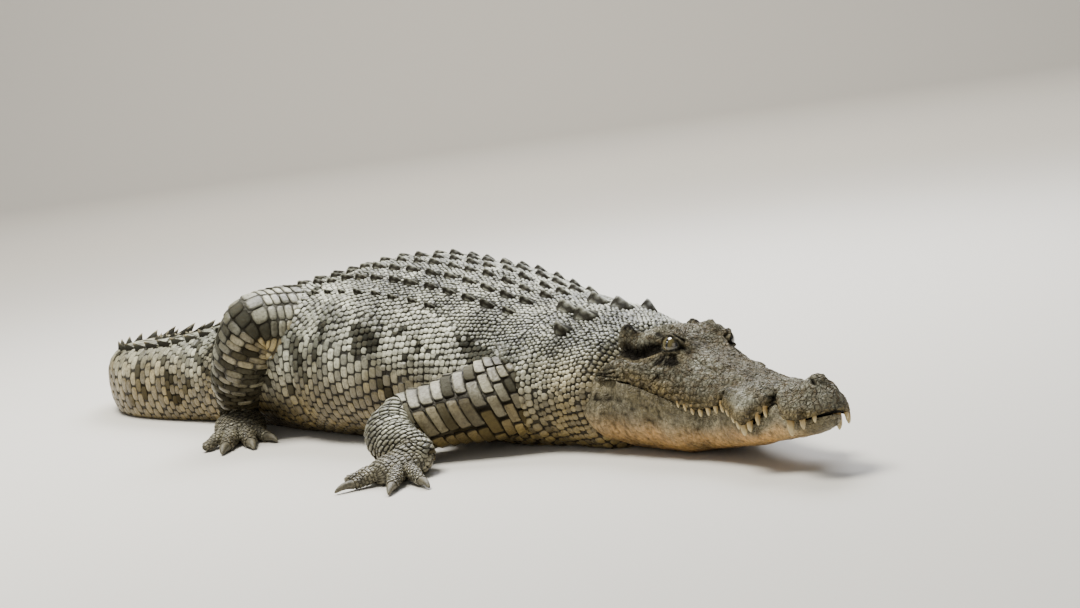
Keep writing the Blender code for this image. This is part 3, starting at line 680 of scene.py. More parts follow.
SKULL_U = crowded(284, -0.10, 1.004, ((0.268, 0.055, 1.3), (0.93, 0.07, 0.6), (0.998, 0.015, 3.0)))
SKULL_V = ((0.353, 0.07, 1.0), (0.647, 0.07, 1.0), (0.0, 0.05, 0.8), (1.0, 0.05, 0.8))
SKULL_V = lips_added(crowded(170, 0.0, 1.0, SKULL_V))
U, V = np.meshgrid(SKULL_U, SKULL_V, indexing="ij")
bone = skull_rings(U, V)
head_middle = on_head(SKULL_U, 0.0, read_off(SKULL, SKULL_U, 3))[:, None]
outer = ramp(-beyond(V), -0.01, 0.0) * ramp(U, 0.998, 0.96)
carved, dark, light = skull_carving(U, head_frame(bone)[1], bone, np.clip(np.minimum(V, 1 - V), 0, 1))
bone = lidded(bone + faces_out(bone, head_middle) * (carved * outer)[..., None])
rise = np.sin(math.pi * np.clip(V, 0, 1))
lid_dark, lid_light = lid_shades(bone)
# Painted highlights: the swell over the long teeth and the nose are painted paler.
lit = 0.40 * bell(U, SWELL_AT, 0.065) * bell(rise, 0.42, 0.25)
told = {
    "pale": light + lid_light,
    # The lids' darkness and the darkening inside the mouth are painted shade, and so is the carved darkness
    # of the ear's slit, the nostrils, the notch, the folds and creases.
    "edge": np.clip(dark * outer + lid_dark + 1.5 * ramp(beyond(V), 0.0, 0.02), 0, 1),
    # Less bone on the swell: smoother skin there, which also paints it paler, as part of its painted
    # highlight.
    "bone": 1 - 0.45 * bell(U, SWELL_AT, 0.07) * bell(rise, 0.40, 0.28),
    "lit": lit + 0.22 * bell(U, NOSE_AT, 0.07) * bell(rise, 0.50, 0.3),
}
SKULL_SKIN = surface(SKULL_U, SKULL_V, bone, head_middle, (0.0, 0.38, 0.62, 0.30), False, **told)


def jaw_rings(ahead, q):
    """Points round the lower jaw from the mouth's right edge under the chin to its left. Where q is below 0
    or above 1 they run on over the gum to the floor of the mouth. Behind the corner of the mouth the upper
    edge is tucked in under the skull, so that the hide closes there."""
    half, under = read_off(JAW, ahead, 1, 2)
    mouth = read_off(SKULL, ahead, 3) - 0.004
    angle = math.pi * np.clip(q, 0.0, 1.0)
    inward = np.maximum(beyond(q), 0.0)
    left = -np.sign(np.cos(angle)) * np.abs(np.cos(angle)) ** 0.75 * (half - COAT / HEAD)
    up = mouth - (mouth - under) * np.sin(angle) ** 0.75
    tuck = ramp(ahead, 0.14, 0.07) * ramp(ahead, -0.10, -0.02)
    tuck = tuck * np.exp(-((np.minimum(angle, math.pi - angle) / 0.16) ** 2))
    left, up = left * (1 - 0.12 * tuck), up + 0.016 * tuck
    return on_head(ahead, left * (1 - 2.4 * inward), up - 0.10 * inward * ramp(ahead, 0.98, 0.90))


JAW_U = np.concatenate([np.linspace(-0.20, 0.93, 190)[:-1], np.linspace(0.93, 0.990, 22)])
JAW_V = lips_added(np.linspace(0.0, 1.0, 76))
U, V = np.meshgrid(JAW_U, JAW_V, indexing="ij")
chin = jaw_rings(U, V)
jaw_middle = on_head(JAW_U, 0.0, 0.5 * read_off(JAW, JAW_U, 2) + 0.06)[:, None]
outer = ramp(-beyond(V), -0.008, 0.0) * ramp(U, 0.985, 0.95)
border = 1 - ramp(cracks(chin * (1, 1, 1.3), 0.017, 31), 0.0, 0.13)
behind = ramp(U, 0.75, 0.35)
wrinkles = (bell(V % 1.0, 0.05, 0.014) + bell(V % 1.0, 0.95, 0.014)) * bell(U, 0.03, 0.14)
carved = 0.0038 * cloud(chin, 0.050, 32) + 0.0014 * cloud(chin, 0.014, 33) + 0.0007 * cloud(chin, 0.007, 34)
carved = carved - 0.0012 * border * behind - 0.004 * wrinkles
chin = above(chin + faces_out(chin, jaw_middle) * (carved * outer)[..., None])
spots = ramp(cloud(chin, 0.010, 36) + 0.6 * cloud(chin, 0.005, 37), 0.25, 0.70)
# Painted shade in the mouth's gap and in the wrinkles at the jaw's rear; the cracks and spots are the skin's
# own.
mouth_gap = ramp(beyond(V), -0.004, 0.012)
dark = np.clip(0.34 * border * behind + 0.8 * wrinkles + 0.9 * mouth_gap + 0.40 * spots, 0, 1)
down = np.abs(2 * np.clip(V, 0, 1) - 1)
ochre = ramp(down, 0.86, 0.50) * ramp(U, -0.20, -0.02) * ramp(U, 0.98, 0.75)
ochre = np.clip(ochre * (0.85 + 0.35 * cloud(chin, 0.05, 35)), 0, 1)
told = {"pale": 0.40, "ochre": ochre, "edge": dark, "bone": 0.6 * (1 - 0.85 * ochre)}
JAW_SKIN = surface(JAW_U, JAW_V, chin, jaw_middle, (0.0, 0.70, 0.62, 0.29), False, **told)

# ------------------------------
# Legs, hands and feet: each leg is a tube along its joints and on into the palm, flattened where it meets the
# floor, with the skin bunched in bands over elbow and wrist. Palms are flat and digits round and tapering.

FINGERS = (  # degrees from the palm's own way, length, half thickness
    (-80, 0.116, 0.016),
    (-50, 0.120, 0.017),
    (6, 0.112, 0.017),
    (34, 0.118, 0.015),
    (60, 0.106, 0.013),
)
TOES = ((-30, 0.130, 0.019), (-9, 0.160, 0.021), (12, 0.168, 0.021), (34, 0.150, 0.017))


def rings(line, across, over, radius, sides, flat=1.0):
    """Rings of points round a line, from its own ways across and over; flat squeezes them from above."""
    angle = ROUND * np.linspace(0.0, 1.0, sides + 1)
    ring = line[:, None] + across[:, None] * (radius * np.cos(angle))[..., None]
    return ring + over[:, None] * (radius * np.sin(angle) * flat)[..., None]


def tube(line, thick, sides, flat=1.0, grow=0.0, crease=0.0):
    """A grid of points round a line, carried along it without twisting; crease adds to the radius."""
    ahead = np.gradient(line, axis=0)
    ahead /= np.linalg.norm(ahead, axis=1, keepdims=True)
    across = np.empty_like(ahead)
    off = np.cross(ahead[0], (0.0, 0.0, 1.0))
    for k, way in enumerate(ahead):
        off = off - way * (off @ way)
        off /= np.linalg.norm(off)
        across[k] = off
    return above(rings(line, across, np.cross(across, ahead), (thick + grow)[:, None] + crease, sides, flat))


def body_gap(place):
    """Distance from points to the trunk's surface, about, less than 0 inside."""
    step = np.arange(0.0, 1.7, 0.02)
    line = on_spine(step, 0.0, 0.0)[:, :2]
    near = np.argmin(np.linalg.norm(place[..., None, :2] - line, axis=-1), axis=-1)
    back = step[near]
    facing = np.interp(back, SPINE_BACK, SPINE_FACING)
    away = place[..., :2] - line[near]
    left = -away[..., 0] * np.sin(facing) + away[..., 1] * np.cos(facing)
    half, top, widest, square = read_off(SECTIONS, back, 1, 2, 3, 4)
    up = place[..., 2] - widest
    high = np.where(place[..., 2] > widest, top - widest, widest + UNDER)
    full = (np.abs(left / half) ** square + np.abs(up / high) ** square) ** (1 / square)
    return (full - 1) * np.minimum(half, high)


SOLE = ((-0.25, 0.034, 0.55), (0.0, 0.036, 0.80), (0.35, 0.030, 1.0), (0.75, 0.022, 0.95), (1.0, 0.018, 0.6))
KNUCKLES = ((0.0, 1.15), (0.45, 1.02), (0.8, 0.86), (1.0, 0.70))  # along a digit, and its thickness there
LEGS, PALMS, DIGITS, TIPS = {}, {}, {}, {}
for number, (name, (line, thick, run)) in enumerate(LIMBS.items()):
    share = np.linspace(0, 1, 66)
    fine = np.stack([np.interp(share * run[-1], run, line[:, k]) for k in range(3)], 1)
    around = np.interp(share * run[-1], run, thick) * np.sqrt(np.clip((1.005 - share) / 0.04, 0.1, 1))
    angle = ROUND * np.linspace(0.0, 1.0, 33)
    wave = np.sin(ROUND * (share[:, None] * 17 + 0.3 * np.sin(angle)))
    leg = tube(fine, around, 32, grow=-COAT, crease=0.0020 * wave * bell(share, 0.66, 0.16)[:, None])
    swell = joined_to(body_gap(leg)) + 0.0025 * cloud(leg, 0.05, 41)
    leg = above(leg + faces_out(leg, fine[:, None]) * (swell * ramp(share, 0.9, 0.8)[:, None])[..., None])
    under = ramp(-faces_out(leg, fine[:, None])[..., 2], -0.25, 0.55)
    high = ramp(share, 0.62, 0.45)[:, None]
    hind = name.startswith("hind")
    told = {
        "pale": np.clip(0.85 * under * (0.35 + 0.65 * high) + (0.12 if hind else 0.26 * high), 0, 1),
        "mark": 0.85 * ramp(blotches(leg), 0.20, 0.40) * ramp(share, 0.92, 0.80)[:, None],
        "edge": 0.85,
        # Painted shade on the hind shanks, painted light on the forearms.
        "lit": (-0.50 if hind else 0.20) * ramp(share, 0.38, 0.58)[:, None],
    }
    across = 0.64 + 0.09 * number  # the limb's strip of the bake map: leg, palm and digits above one another
    chart = (across, 0.38, 0.085, 0.22)
    LEGS[name] = surface(share, angle / ROUND, leg, fine[:, None], chart, True, **told)

    table, side, _, turned, palm = STANCE[name]
    way = math.radians(turned)
    ahead = heading(way)
    ground = on_spine(table[-1][0], side * table[-1][1], 0.0)
    at, stations = np.linspace(0, 4, 20), np.arange(5)
    sole = ground + np.outer(column(SOLE, 0), ahead * palm[0])
    sole[:, 2] = column(SOLE, 1)
    sole = curved(at, stations, sole)
    wide = through(at, stations, palm[1] * column(SOLE, 2)) * ramp(5 - at, 0.6, 1.6)
    made = tube(sole, wide, 24, 0.60, -COAT), sole[:, None], (across, 0.62, 0.085, 0.10), True
    PALMS[name] = surface(at / 4, np.linspace(0, 1, 25), *made, pale=0.10, edge=0.5)
    start = ground + ahead * palm[0] * 0.35 + (0, 0, 0.026)
    for digit, (bend, long, thick) in enumerate(TOES if hind else FINGERS):
        point = heading(way + side * math.radians(bend))
        joints = start + np.outer(column(KNUCKLES, 0), point * long)
        joints[:, 2] = (start[2], start[2] * 0.55 + 0.012, 0.016, 0.012)
        share = np.linspace(0, 1, 19)
        line = curved(share, column(KNUCKLES, 0), joints)
        around = through(share, column(KNUCKLES, 0), thick * column(KNUCKLES, 1))
        around = around * (1 + 0.06 * np.cos(ROUND * share * 3.0))
        around = around * np.sqrt(np.clip((1.02 - share) / 0.08, 0.05, 1))
        chart = (across + 0.017 * digit, 0.73, 0.016, 0.10)
        made = tube(line, around, 13, 0.92, -0.0015), line[:, None], chart, True
        DIGITS[f"{name}_{digit + 1}"] = surface(share, np.linspace(0, 1, 14), *made, pale=0.12, edge=0.5)
        TIPS[f"{name}_{digit + 1}"] = (joints[-1], point, thick)

# ------------------------------
# Skin: one hide over skull, jaw, trunk, tail, legs, hands and feet, joined into one mesh. It is leathery,
# pitted over the bone of the head, and dark where it shows between the scales.


def mixed(tree, factor, one, two, blend="MIX"):
    """A mix of two colours; each is a hex code or another node's output."""
    made = node(tree, "Mix", data_type="RGBA", blend_type=blend)
    for socket, value in ((made.inputs[0], factor), (made.inputs[6], one), (made.inputs[7], two)):
        if isinstance(value, bpy.types.NodeSocket):
            tree.links.new(value, socket)
        else:
            socket.default_value = linear(value) if isinstance(value, str) else value
    return made.outputs[2]


def spread_over(tree, value, low, high, to_low=0.0, to_high=1.0):
    """A value from low to high, carried over to another range and held there."""
    ends = {"From Min": low, "From Max": high, "To Min": to_low, "To Max": to_high}
    return node(tree, "MapRange", {"Value": value, **ends}).outputs["Result"]


def carried(tree, key):
    """A number that the mesh carries at its points."""
    return node(tree, "Attribute", attribute_name=key).outputs["Fac"]


def noise(tree, where, scale, detail, roughness=0.5):
    """Clouds from 0 to 1."""
    sockets = {"Vector": where, "Scale": scale, "Detail": detail, "Roughness": roughness}
    return node(tree, "TexNoise", sockets).outputs["Fac"]


def maths(tree, operation, *values, clamp=False):
    """A sum or product of values."""
    return node(tree, "Math", dict(enumerate(values)), operation=operation, use_clamp=clamp).outputs[0]


def hide_material(name, pits):
    """Crocodile hide: horny scales over leathery skin, olive grey above, tan below, ochre on the jaw, near
    black in blotches and in the seams, dusty and with a faint sheen, which dark and rough places lack. It is
    darker low down, as painted shade. Pits is how deep its grain is, in metres."""
    made, tree, shader = material(name, {})
    where = node(tree, "TexCoord").outputs["Object"]
    pale, ochre, mark, edge, bone = (carried(tree, key) for key in SHADES)
    fine = noise(tree, where, 130.0, 6.0, 0.7)
    rough = noise(tree, where, 62.0, 5.0, 0.65)
    lumps = spread_over(tree, noise(tree, where, 11.0, 3.0), 0.38, 0.62)
    patchy = maths(tree, "MULTIPLY", spread_over(tree, rough, 0.42, 0.62, 0.42, 1.0), bone)
    dusty = spread_over(tree, fine, 0.42, 0.68, 0.0, 0.7)
    height = node(tree, "SeparateXYZ", {"Vector": where}).outputs["Z"]
    # Painted shade: the hide is darkened towards the floor, up to 0.16 m, and less where the skin lies over
    # bone.
    painted_low_shade = spread_over(tree, height, 0.02, 0.16, 0.55, 0.0)
    painted_low_shade = maths(tree, "SUBTRACT", painted_low_shade, bone, clamp=True)
    colour = linear("#636556")
    for share, over in (
        (lumps, "#b9baa6"),
        (pale, "#a18c55"),
        (ochre, "#f0b968"),
        (mark, "#292a25"),
        (patchy, "#62563d"),
        (dusty, "#443e2f"),
        (painted_low_shade, "#4a3d20"),
    ):
        colour = mixed(tree, share, colour, over)
    # each is a random tone plus the surfaces' painted light and shade; it scales the colour.
    tint = spread_over(tree, carried(tree, "each"), 0.0, 1.0, 0.52, 1.42)
    grey = node(tree, "CombineColor", {"Red": tint, "Green": tint, "Blue": tint}).outputs["Color"]
    colour = mixed(tree, 1.0, colour, grey, "MULTIPLY")
    cells = {"Vector": where, "Scale": 105.0}
    net = node(tree, "TexVoronoi", cells, feature="DISTANCE_TO_EDGE").outputs["Distance"]
    lines = maths(tree, "MULTIPLY", spread_over(tree, net, 0.0, 0.09, 0.20, 0.0), bone)
    colour = mixed(tree, edge, mixed(tree, lines, colour, "#16130d"), "#16130d")
    tree.links.new(colour, shader.inputs["Base Color"])
    dull = maths(tree, "MULTIPLY_ADD", edge, 0.50, maths(tree, "MULTIPLY_ADD", bone, 0.58, mark))
    worn = maths(tree, "MULTIPLY_ADD", dull, 0.30, spread_over(tree, fine, 0.3, 0.7, 0.24, 0.54))
    tree.links.new(worn, shader.inputs["Roughness"])
    tree.links.new(spread_over(tree, dull, 0.0, 0.8, 0.60, 0.05), shader.inputs["Specular IOR Level"])
    cells = {"Vector": where, "Scale": 230.0}
    grain = node(tree, "TexVoronoi", cells, feature="F1").outputs["Distance"]
    sunk = spread_over(tree, net, 0.0, 0.14)
    bumped = {}
    for strength, deep, bumps in (
        (0.7, pits, fine),
        (bone, 2 * pits, rough),
        (bone, pits, sunk),
        (0.6, pits / 2, grain),
    ):
        sockets = {"Strength": strength, "Distance": deep, "Height": bumps, **bumped}
        bumped = {"Normal": node(tree, "Bump", sockets).outputs["Normal"]}
    tree.links.new(bumped["Normal"], shader.inputs["Normal"])
    return made


HIDE = hide_material("crocodile skin", 0.004)
SCALE = hide_material("crocodile scale", 0.0022)


def put(name, points, face_lists, corner_uv, attributes, paint):
    """Makes a smooth object of arrays: points, lists of faces, a bake map by corner and numbers by point."""
    corners = np.concatenate([faces.ravel() for faces in face_lists])
    sizes = np.concatenate([np.full(len(faces), faces.shape[1]) for faces in face_lists])
    starts = np.concatenate([[0], np.cumsum(sizes)[:-1]])
    mesh = bpy.data.meshes.new(name)
    mesh.vertices.add(len(points))
    mesh.vertices.foreach_set("co", np.asarray(points, np.float32).ravel())
    mesh.loops.add(len(corners))
    mesh.loops.foreach_set("vertex_index", corners.astype(np.int32))
    mesh.polygons.add(len(starts))
    mesh.polygons.foreach_set("loop_start", starts.astype(np.int32))
    mesh.update(calc_edges=True)
    if corner_uv is not None:
        layer = mesh.uv_layers.new(name="OFBake")
        layer.data.foreach_set("uv", np.asarray(corner_uv, np.float32).ravel())
    for key, values in attributes.items():
        mesh.attributes.new(key, "FLOAT", "POINT").data.foreach_set("value", np.asarray(values, np.float32))
    mesh.polygons.foreach_set("use_smooth", np.ones(len(starts), bool))
    mesh.materials.append(paint)
    mesh.update()
    made = added(name, mesh)
    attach(made, "root")
    return made


def grid_faces(rows, columns, flip):
    """Quads between neighbouring points of a grid, as indices; flip turns them over."""
    first = (np.arange(rows - 1)[:, None] * columns + np.arange(columns - 1)).ravel()
    quads = np.stack([first, first + columns, first + columns + 1, first + 1], 1)
    return quads[:, ::-1] if flip else quads


def on_chart(face, u, v):
    """The place on the bake map of a point of a surface."""
    x, y, wide, high = face["chart"]
    across = np.clip((u - face["u"][0]) / (face["u"][-1] - face["u"][0]), 0, 1)
    upward = np.clip((v - face["v"][0]) / (face["v"][-1] - face["v"][0]), 0, 1)
    return np.stack([x + wide * (0.01 + 0.98 * across), y + high * (0.01 + 0.98 * upward)], -1)


def turned_over(face):
    """Whether the quads of a surface's grid, taken in order, face inwards."""
    place, middle = face["at"], len(face["at"]) // 2
    way = np.cross(place[middle + 1] - place[middle], np.roll(place[middle], -1, 0) - place[middle])
    return np.sum(way * face["out"][middle], -1)[1:-1].mean() < 0


def hide_of(faces):
    """One mesh's arrays for a list of surfaces, each closed round itself and at both ends."""
    points, quads, triangles, quad_uv, triangle_uv, total = [], [], [], [], [], 0
    for face in faces:
        rows, columns = face["at"].shape[:2]
        inward = turned_over(face)
        corner = grid_faces(rows, columns, inward)
        uv = on_chart(face, *np.meshgrid(face["u"], face["v"], indexing="ij")).reshape(-1, 2)
        quad_uv.append(uv[corner].reshape(-1, 2))
        if face["wraps"]:
            corner = np.where(corner % columns == columns - 1, corner - columns + 1, corner)
        else:
            first = np.arange(rows - 1) * columns
            last = first + columns - 1
            seam = np.stack([last, last + columns, first + columns, first], 1)
            seam = seam[:, ::-1] if inward else seam
            quad_uv.append(uv[seam].reshape(-1, 2))
            corner = np.concatenate([corner, seam])
        quads.append(corner + total)
        used = columns - 1 if face["wraps"] else columns
        for row, flip in ((0, not inward), (rows - 1, inward)):
            ring = row * columns + np.arange(used)
            fan = np.stack([np.full(used, rows * columns + (row > 0)), ring, np.roll(ring, -1)], 1)
            fan = fan[:, ::-1] if flip else fan
            triangles.append(fan + total)
            middle_uv = uv[ring].mean(0)
            triangle_uv.append(np.concatenate([uv, [middle_uv, middle_uv]])[fan].reshape(-1, 2))
        points += [face["at"].reshape(-1, 3), face["at"][[0, -1], :used].mean(1)]
        total += rows * columns + 2
    face_lists = [np.concatenate(quads), np.concatenate(triangles)]
    return np.concatenate(points), face_lists, np.concatenate(quad_uv + triangle_uv)


def told_by(faces, key):
    """One of the numbers of several surfaces, for the points that hide_of gives."""
    grids = [face[key] for face in faces]
    return np.concatenate([np.append(grid.ravel(), [grid[0].mean(), grid[-1].mean()]) for grid in grids])


parts = [BODY, SKULL_SKIN, JAW_SKIN, *LEGS.values(), *PALMS.values(), *DIGITS.values()]
points, face_lists, uv = hide_of(parts)
numbers = {key: told_by(parts, key) for key in SHADES}
# each: a random tone in clouds, plus the surfaces' painted light and shade.
numbers["each"] = 0.5 + 0.30 * cloud(points, 0.025, 61) + told_by(parts, "lit")
skin = put("skin", points, face_lists, uv, numbers, HIDE)
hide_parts(*[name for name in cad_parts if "claw" not in name and "eye" not in name])

# ------------------------------
# Scales: each is a solid plate of horn rooted in the skin, domed or keeled, with its rim sunk below it. They
# lie in rings round the body, limbs and tail, and their rear edges stand a little proud.

# Profiles from crown to foot: reach, rise and darkness, with the foot's rise below 0.
FULL = ((0.48, 1.0, 0.0), (0.79, 0.88, 0.08), (0.93, 0.48, 0.85), (1.01, -0.2, 1.0), (1.02, -1.0, 1.0))
SMALL = ((0.62, 0.94, 0.03), (0.88, 0.62, 0.45), (0.97, 0.12, 1.0), (1.02, -1.0, 1.0))
PLATE = ((0.50, 1.0, 0.0), (0.79, 0.97, 0.0), (0.87, 0.84, 0.85), (0.95, 0.25, 1.0), (1.01, -1.0, 1.0))
SUNK = 0.0016  # how far a scale's foot lies under the skin
BAKED = 0.0014  # half the size of a scale's patch on the bake map
FLOOR_GAP = 0.0003  # the scales' lowest height
HEAD_OVERLAP, LIMB_OVERLAP = -0.020, -0.004  # how far in the head or a limb the body's scales still stand


def sampled(face, key, u, v):
    """Values of a surface's grid at parameters u and v, blended from the four grid points around."""
    if face["wraps"]:
        v = v % 1.0
    row = np.interp(u, face["u"], np.arange(len(face["u"])))
    across = np.interp(v, face["v"], np.arange(len(face["v"])))
    i = np.clip(row.astype(int), 0, len(face["u"]) - 2)
    j = np.clip(across.astype(int), 0, len(face["v"]) - 2)
    s, t = (row - i)[..., None], (across - j)[..., None]
    grid = face[key]
    near = grid[i, j] * (1 - t) + grid[i, j + 1] * t
    return near * (1 - s) + (grid[i + 1, j] * (1 - t) + grid[i + 1, j + 1] * t) * s


def random_of(rows, seed):
    """A number from 0 to 1 for each root, from its own place."""
    return hashed(np.stack([rows[:, 0] * 9000, rows[:, 1] * 9000, rows[:, 0] * 0], 1), seed)


def power(wave, shape):
    """A sine or cosine raised so that the outline it draws is squarer for a larger shape."""
    return np.sign(wave) * np.abs(wave) ** (2 / shape)


def scales(
    face, rows, ring, corners, shape, thick, keel=0.0, tilt=0.0, mark=0.0, *,
    blotchy=0.0, keel_mark=0.0, drop=0.0, slant=0.0, tucked=0.0,
):
    """Scales on a surface. Rows are u, v, half length and half width (in u and v); ring is a profile from
    crown to foot; shape squares the outline. Thickness, keel height and the rear edge's tilt are in metres;
    mark darkens whole scales, blotchy lets the hide's blotches do so, keel_mark darkens the keel's flanks;
    drop tilts the lower edge out as well. Slant carries the rings forward on top, as a share of u, and tucked
    paints shadow on the front ends that slip under the ring before."""
    count, size = len(rows), len(ring) * corners
    u0, v0, half_u, half_v = (rows[:, k, None, None] for k in range(4))
    thick, keel = (np.broadcast_to(np.asarray(x, float), count)[:, None, None] for x in (thick, keel))
    angle = ROUND * np.arange(corners) / corners
    reach, rise, dark = (np.array(ring)[:, k, None] for k in range(3))
    along, side = reach * power(np.cos(angle), shape), reach * power(np.sin(angle), shape)
    ridge = np.clip(1 - np.abs(side) * 1.7, 0, 1) * (0.62 + 0.38 * along)
    lean = along + drop * side * np.sign(v0)
    lift = np.where(rise < 0, -SUNK, (thick + keel * ridge + tilt * lean) * rise)
    u, v = u0 + along * half_u, v0 + side * half_v
    u = u + slant * sampled(face, "out", u, v)[..., 2]
    place = sampled(face, "at", u, v) + sampled(face, "out", u, v) * lift[..., None]
    rows = rows.copy()
    rows[:, 0] += slant * sampled(face, "out", rows[:, 0], rows[:, 1])[:, 2]
    here = {key: sampled(face, key, rows[:, 0], rows[:, 1]) for key in ("at", "out", "lit", *SHADES)}
    crown = here["at"] + here["out"] * (thick + keel * 0.62)[:, 0]
    points = above(np.concatenate([crown[:, None], place.reshape(count, size, 3)], axis=1), FLOOR_GAP)
    k = np.arange(corners)
    after = (k + 1) % corners
    walls = []
    for inner in range(1, 1 + size - corners, corners):
        outer = inner + corners
        walls.append(np.stack([inner + k, outer + k, outer + after, inner + after], 1))
    crowns, foot = np.stack([0 * k, 1 + k, 1 + after], 1), (1 + size - corners + k)[::-1]
    kinds = [crowns, np.concatenate(walls), foot[None]]
    way = np.cross(points[:, 1] - points[:, 0], points[:, 2] - points[:, 0])
    if np.sum(way * here["out"]) < 0:
        kinds = [kind[:, ::-1] for kind in kinds]
    spots = np.concatenate([[[0.0, 0.0]], np.stack([along.ravel(), side.ravel()], 1)])
    root = on_chart(face, rows[:, 0], rows[:, 1] % 1.0 if face["wraps"] else rows[:, 1])
    blot = blotches(here["at"]) + 0.30 * (random_of(rows, 73) - 0.5)
    keyed = blotchy * ramp(blot, 0.34, 0.40) * (here["mark"][:, 0] > 0.001)
    own = np.maximum(mark, keyed)[:, None]
    on_crest = 1 - 0.7 * (np.abs(side) < 0.02)
    flanks = (on_crest * np.clip((0.92 - np.abs(side)) / 0.30, 0, 1)).ravel()
    flanks = keel_mark * np.concatenate([[0.3], flanks])
    seam = np.concatenate([[0.0], np.repeat(dark[:, 0], corners)])
    # Painted shadow on the front ends of plates that slip under the ring before.
    seam = np.maximum(seam, tucked * np.concatenate([[0.0], along.ravel() < -0.70]))
    # each: a random tone per scale, plus the painted light and shade of the surface under it.
    numbers = {
        "mark": np.clip(np.maximum(own, flanks), 0, 1),
        "edge": np.maximum(seam, 0.85 * flanks),
        "each": random_of(rows, 71)[:, None] + here["lit"],
        "pale": here["pale"],
        "ochre": here["ochre"],
    }
    numbers = {key: np.broadcast_to(values, (count, size + 1)) for key, values in numbers.items()}
    return points, kinds, root[:, None] + spots * BAKED, numbers


def put_scales(name, groups):
    """Joins groups of scales into one piece."""
    points, faces, uvs, numbers, total = [], {}, {}, {}, 0
    for made, kinds, uv, told in groups:
        count, size = made.shape[:2]
        points.append(made.reshape(-1, 3))
        start = total + np.arange(count)[:, None, None] * size
        for kind in kinds:
            faces.setdefault(kind.shape[1], []).append((start + kind).reshape(-1, kind.shape[1]))
            uvs.setdefault(kind.shape[1], []).append(uv[:, kind].reshape(-1, 2))
        for key, values in told.items():
            numbers.setdefault(key, []).append(np.asarray(values).ravel())
        total += count * size
    face_lists = [np.concatenate(faces[size]) for size in sorted(faces)]
    uv = np.concatenate([np.concatenate(uvs[size]) for size in sorted(faces)])
    numbers = {key: np.concatenate(values) for key, values in numbers.items()}
    made = put(name, np.concatenate(points), face_lists, uv, numbers, SCALE)
    return made


def loosened(rows, loose, seed):
    """Roots moved a little at random, by a share of their size, with their sizes varied too."""
    one, two = random_of(rows, seed) - 0.5, random_of(rows, seed + 5) - 0.5
    rows[:, 0] += 2 * loose * one * rows[:, 2]
    rows[:, 1] += 2 * loose * two * rows[:, 3]
    rows[:, 2:4] *= (1 + loose * one)[:, None]
    return rows


def body_rows(start, end, pitch, low, high, wide, loose, seed):
    """Roots in rings round the body from start to end, between two distances from the ridge (each given at
    both ends), on both sides; every other ring is shifted by half a scale."""
    rows = []
    for number, back in enumerate(np.arange(start + pitch / 2, end, pitch)):
        share = (back - start) / (end - start)
        girth = np.interp(back, BODY_U, GIRTH)
        inner = min(low[0] + (low[1] - low[0]) * share, girth / 2)
        outer = min(high[0] + (high[1] - high[0]) * share, girth / 2)
        if outer - inner < 0.4 * wide:
            continue
        count = max(1, round((outer - inner) / wide))
        width = (outer - inner) / count
        off = inner + (np.arange(count) + (0.75 if number % 2 else 0.25)) * width
        for side in (1, -1):
            size = np.tile([pitch / 2, width / girth / 2], (count, 1))
            rows.append(np.column_stack([np.full(count, back), side * off / girth, size]))
    return loosened(np.concatenate(rows), loose, seed)


def head_gap(place):
    """Distance from points to the head's outside, about, less than 0 inside."""
    ahead, left, up = head_frame(place)
    half, dome, mouth = read_off(SKULL, ahead, 1, 2, 3)
    jaw_half, under = read_off(JAW, ahead, 1, 2)
    skull = (up > mouth) & (ahead > -0.10)
    wide = np.where(skull, half, jaw_half)
    high = np.where(skull, dome - mouth + relief(ahead, left), np.where(up > mouth, 0.01, mouth - under))
    full = (np.abs(left / wide) ** 2.5 + np.abs((up - mouth) / high) ** 2.5) ** 0.4
    gap = (full - 1) * np.minimum(wide, high) * HEAD
    return np.where((ahead > -0.20) & (ahead < 1.0), gap, 9.0)


def body_clear(rows):
    """Drops the roots that lie inside a limb or the head."""
    place = sampled(BODY, "at", rows[:, 0], rows[:, 1])
    keep = head_gap(place) > HEAD_OVERLAP
    for line, thick, _ in LIMBS.values():
        keep &= limb_gap(place, line, thick) > LIMB_OVERLAP
    return rows[keep]


def clear_of(rows, shields):
    """Drops the roots that lie under any of the shields."""
    near = np.full(len(rows), 9.0)
    for u, v, half_u, half_v in shields:
        near = np.minimum(near, np.hypot((rows[:, 0] - u) / half_u, (rows[:, 1] - v) / half_v))
    return rows[near > 1.0]


def free_rows(*bands, shields=()):
    """Roots for bands of body_rows, clear of the limbs, the head and the shields."""
    return clear_of(body_clear(np.concatenate([body_rows(*band) for band in bands])), shields)


def back_shields():
    """Four keeled shields to each side in each ring of the back, the outermost small and only on the ribs."""
    rows = []
    for back in np.arange(0.30, 1.45, 0.062):
        girth = np.interp(back, BODY_U, GIRTH)
        spread = np.interp(back, [0.26, 0.40, 0.80, 1.15, 1.46], [0.045, 0.052, 0.059, 0.048, 0.032])
        count = 4 if 0.45 < back < 1.2 else 3
        off = (np.arange(count) + 0.5) * spread
        along = back + 0.007 * np.arange(count)
        size = np.array([0.92, 1.0, 0.94, 0.66])[:count]
        for side in (1, -1):
            row = [along, side * off / girth, 0.025 * size, 0.25 * spread / girth * size]
            rows.append(np.column_stack(row))
    return loosened(np.concatenate(rows), 0.16, 9)


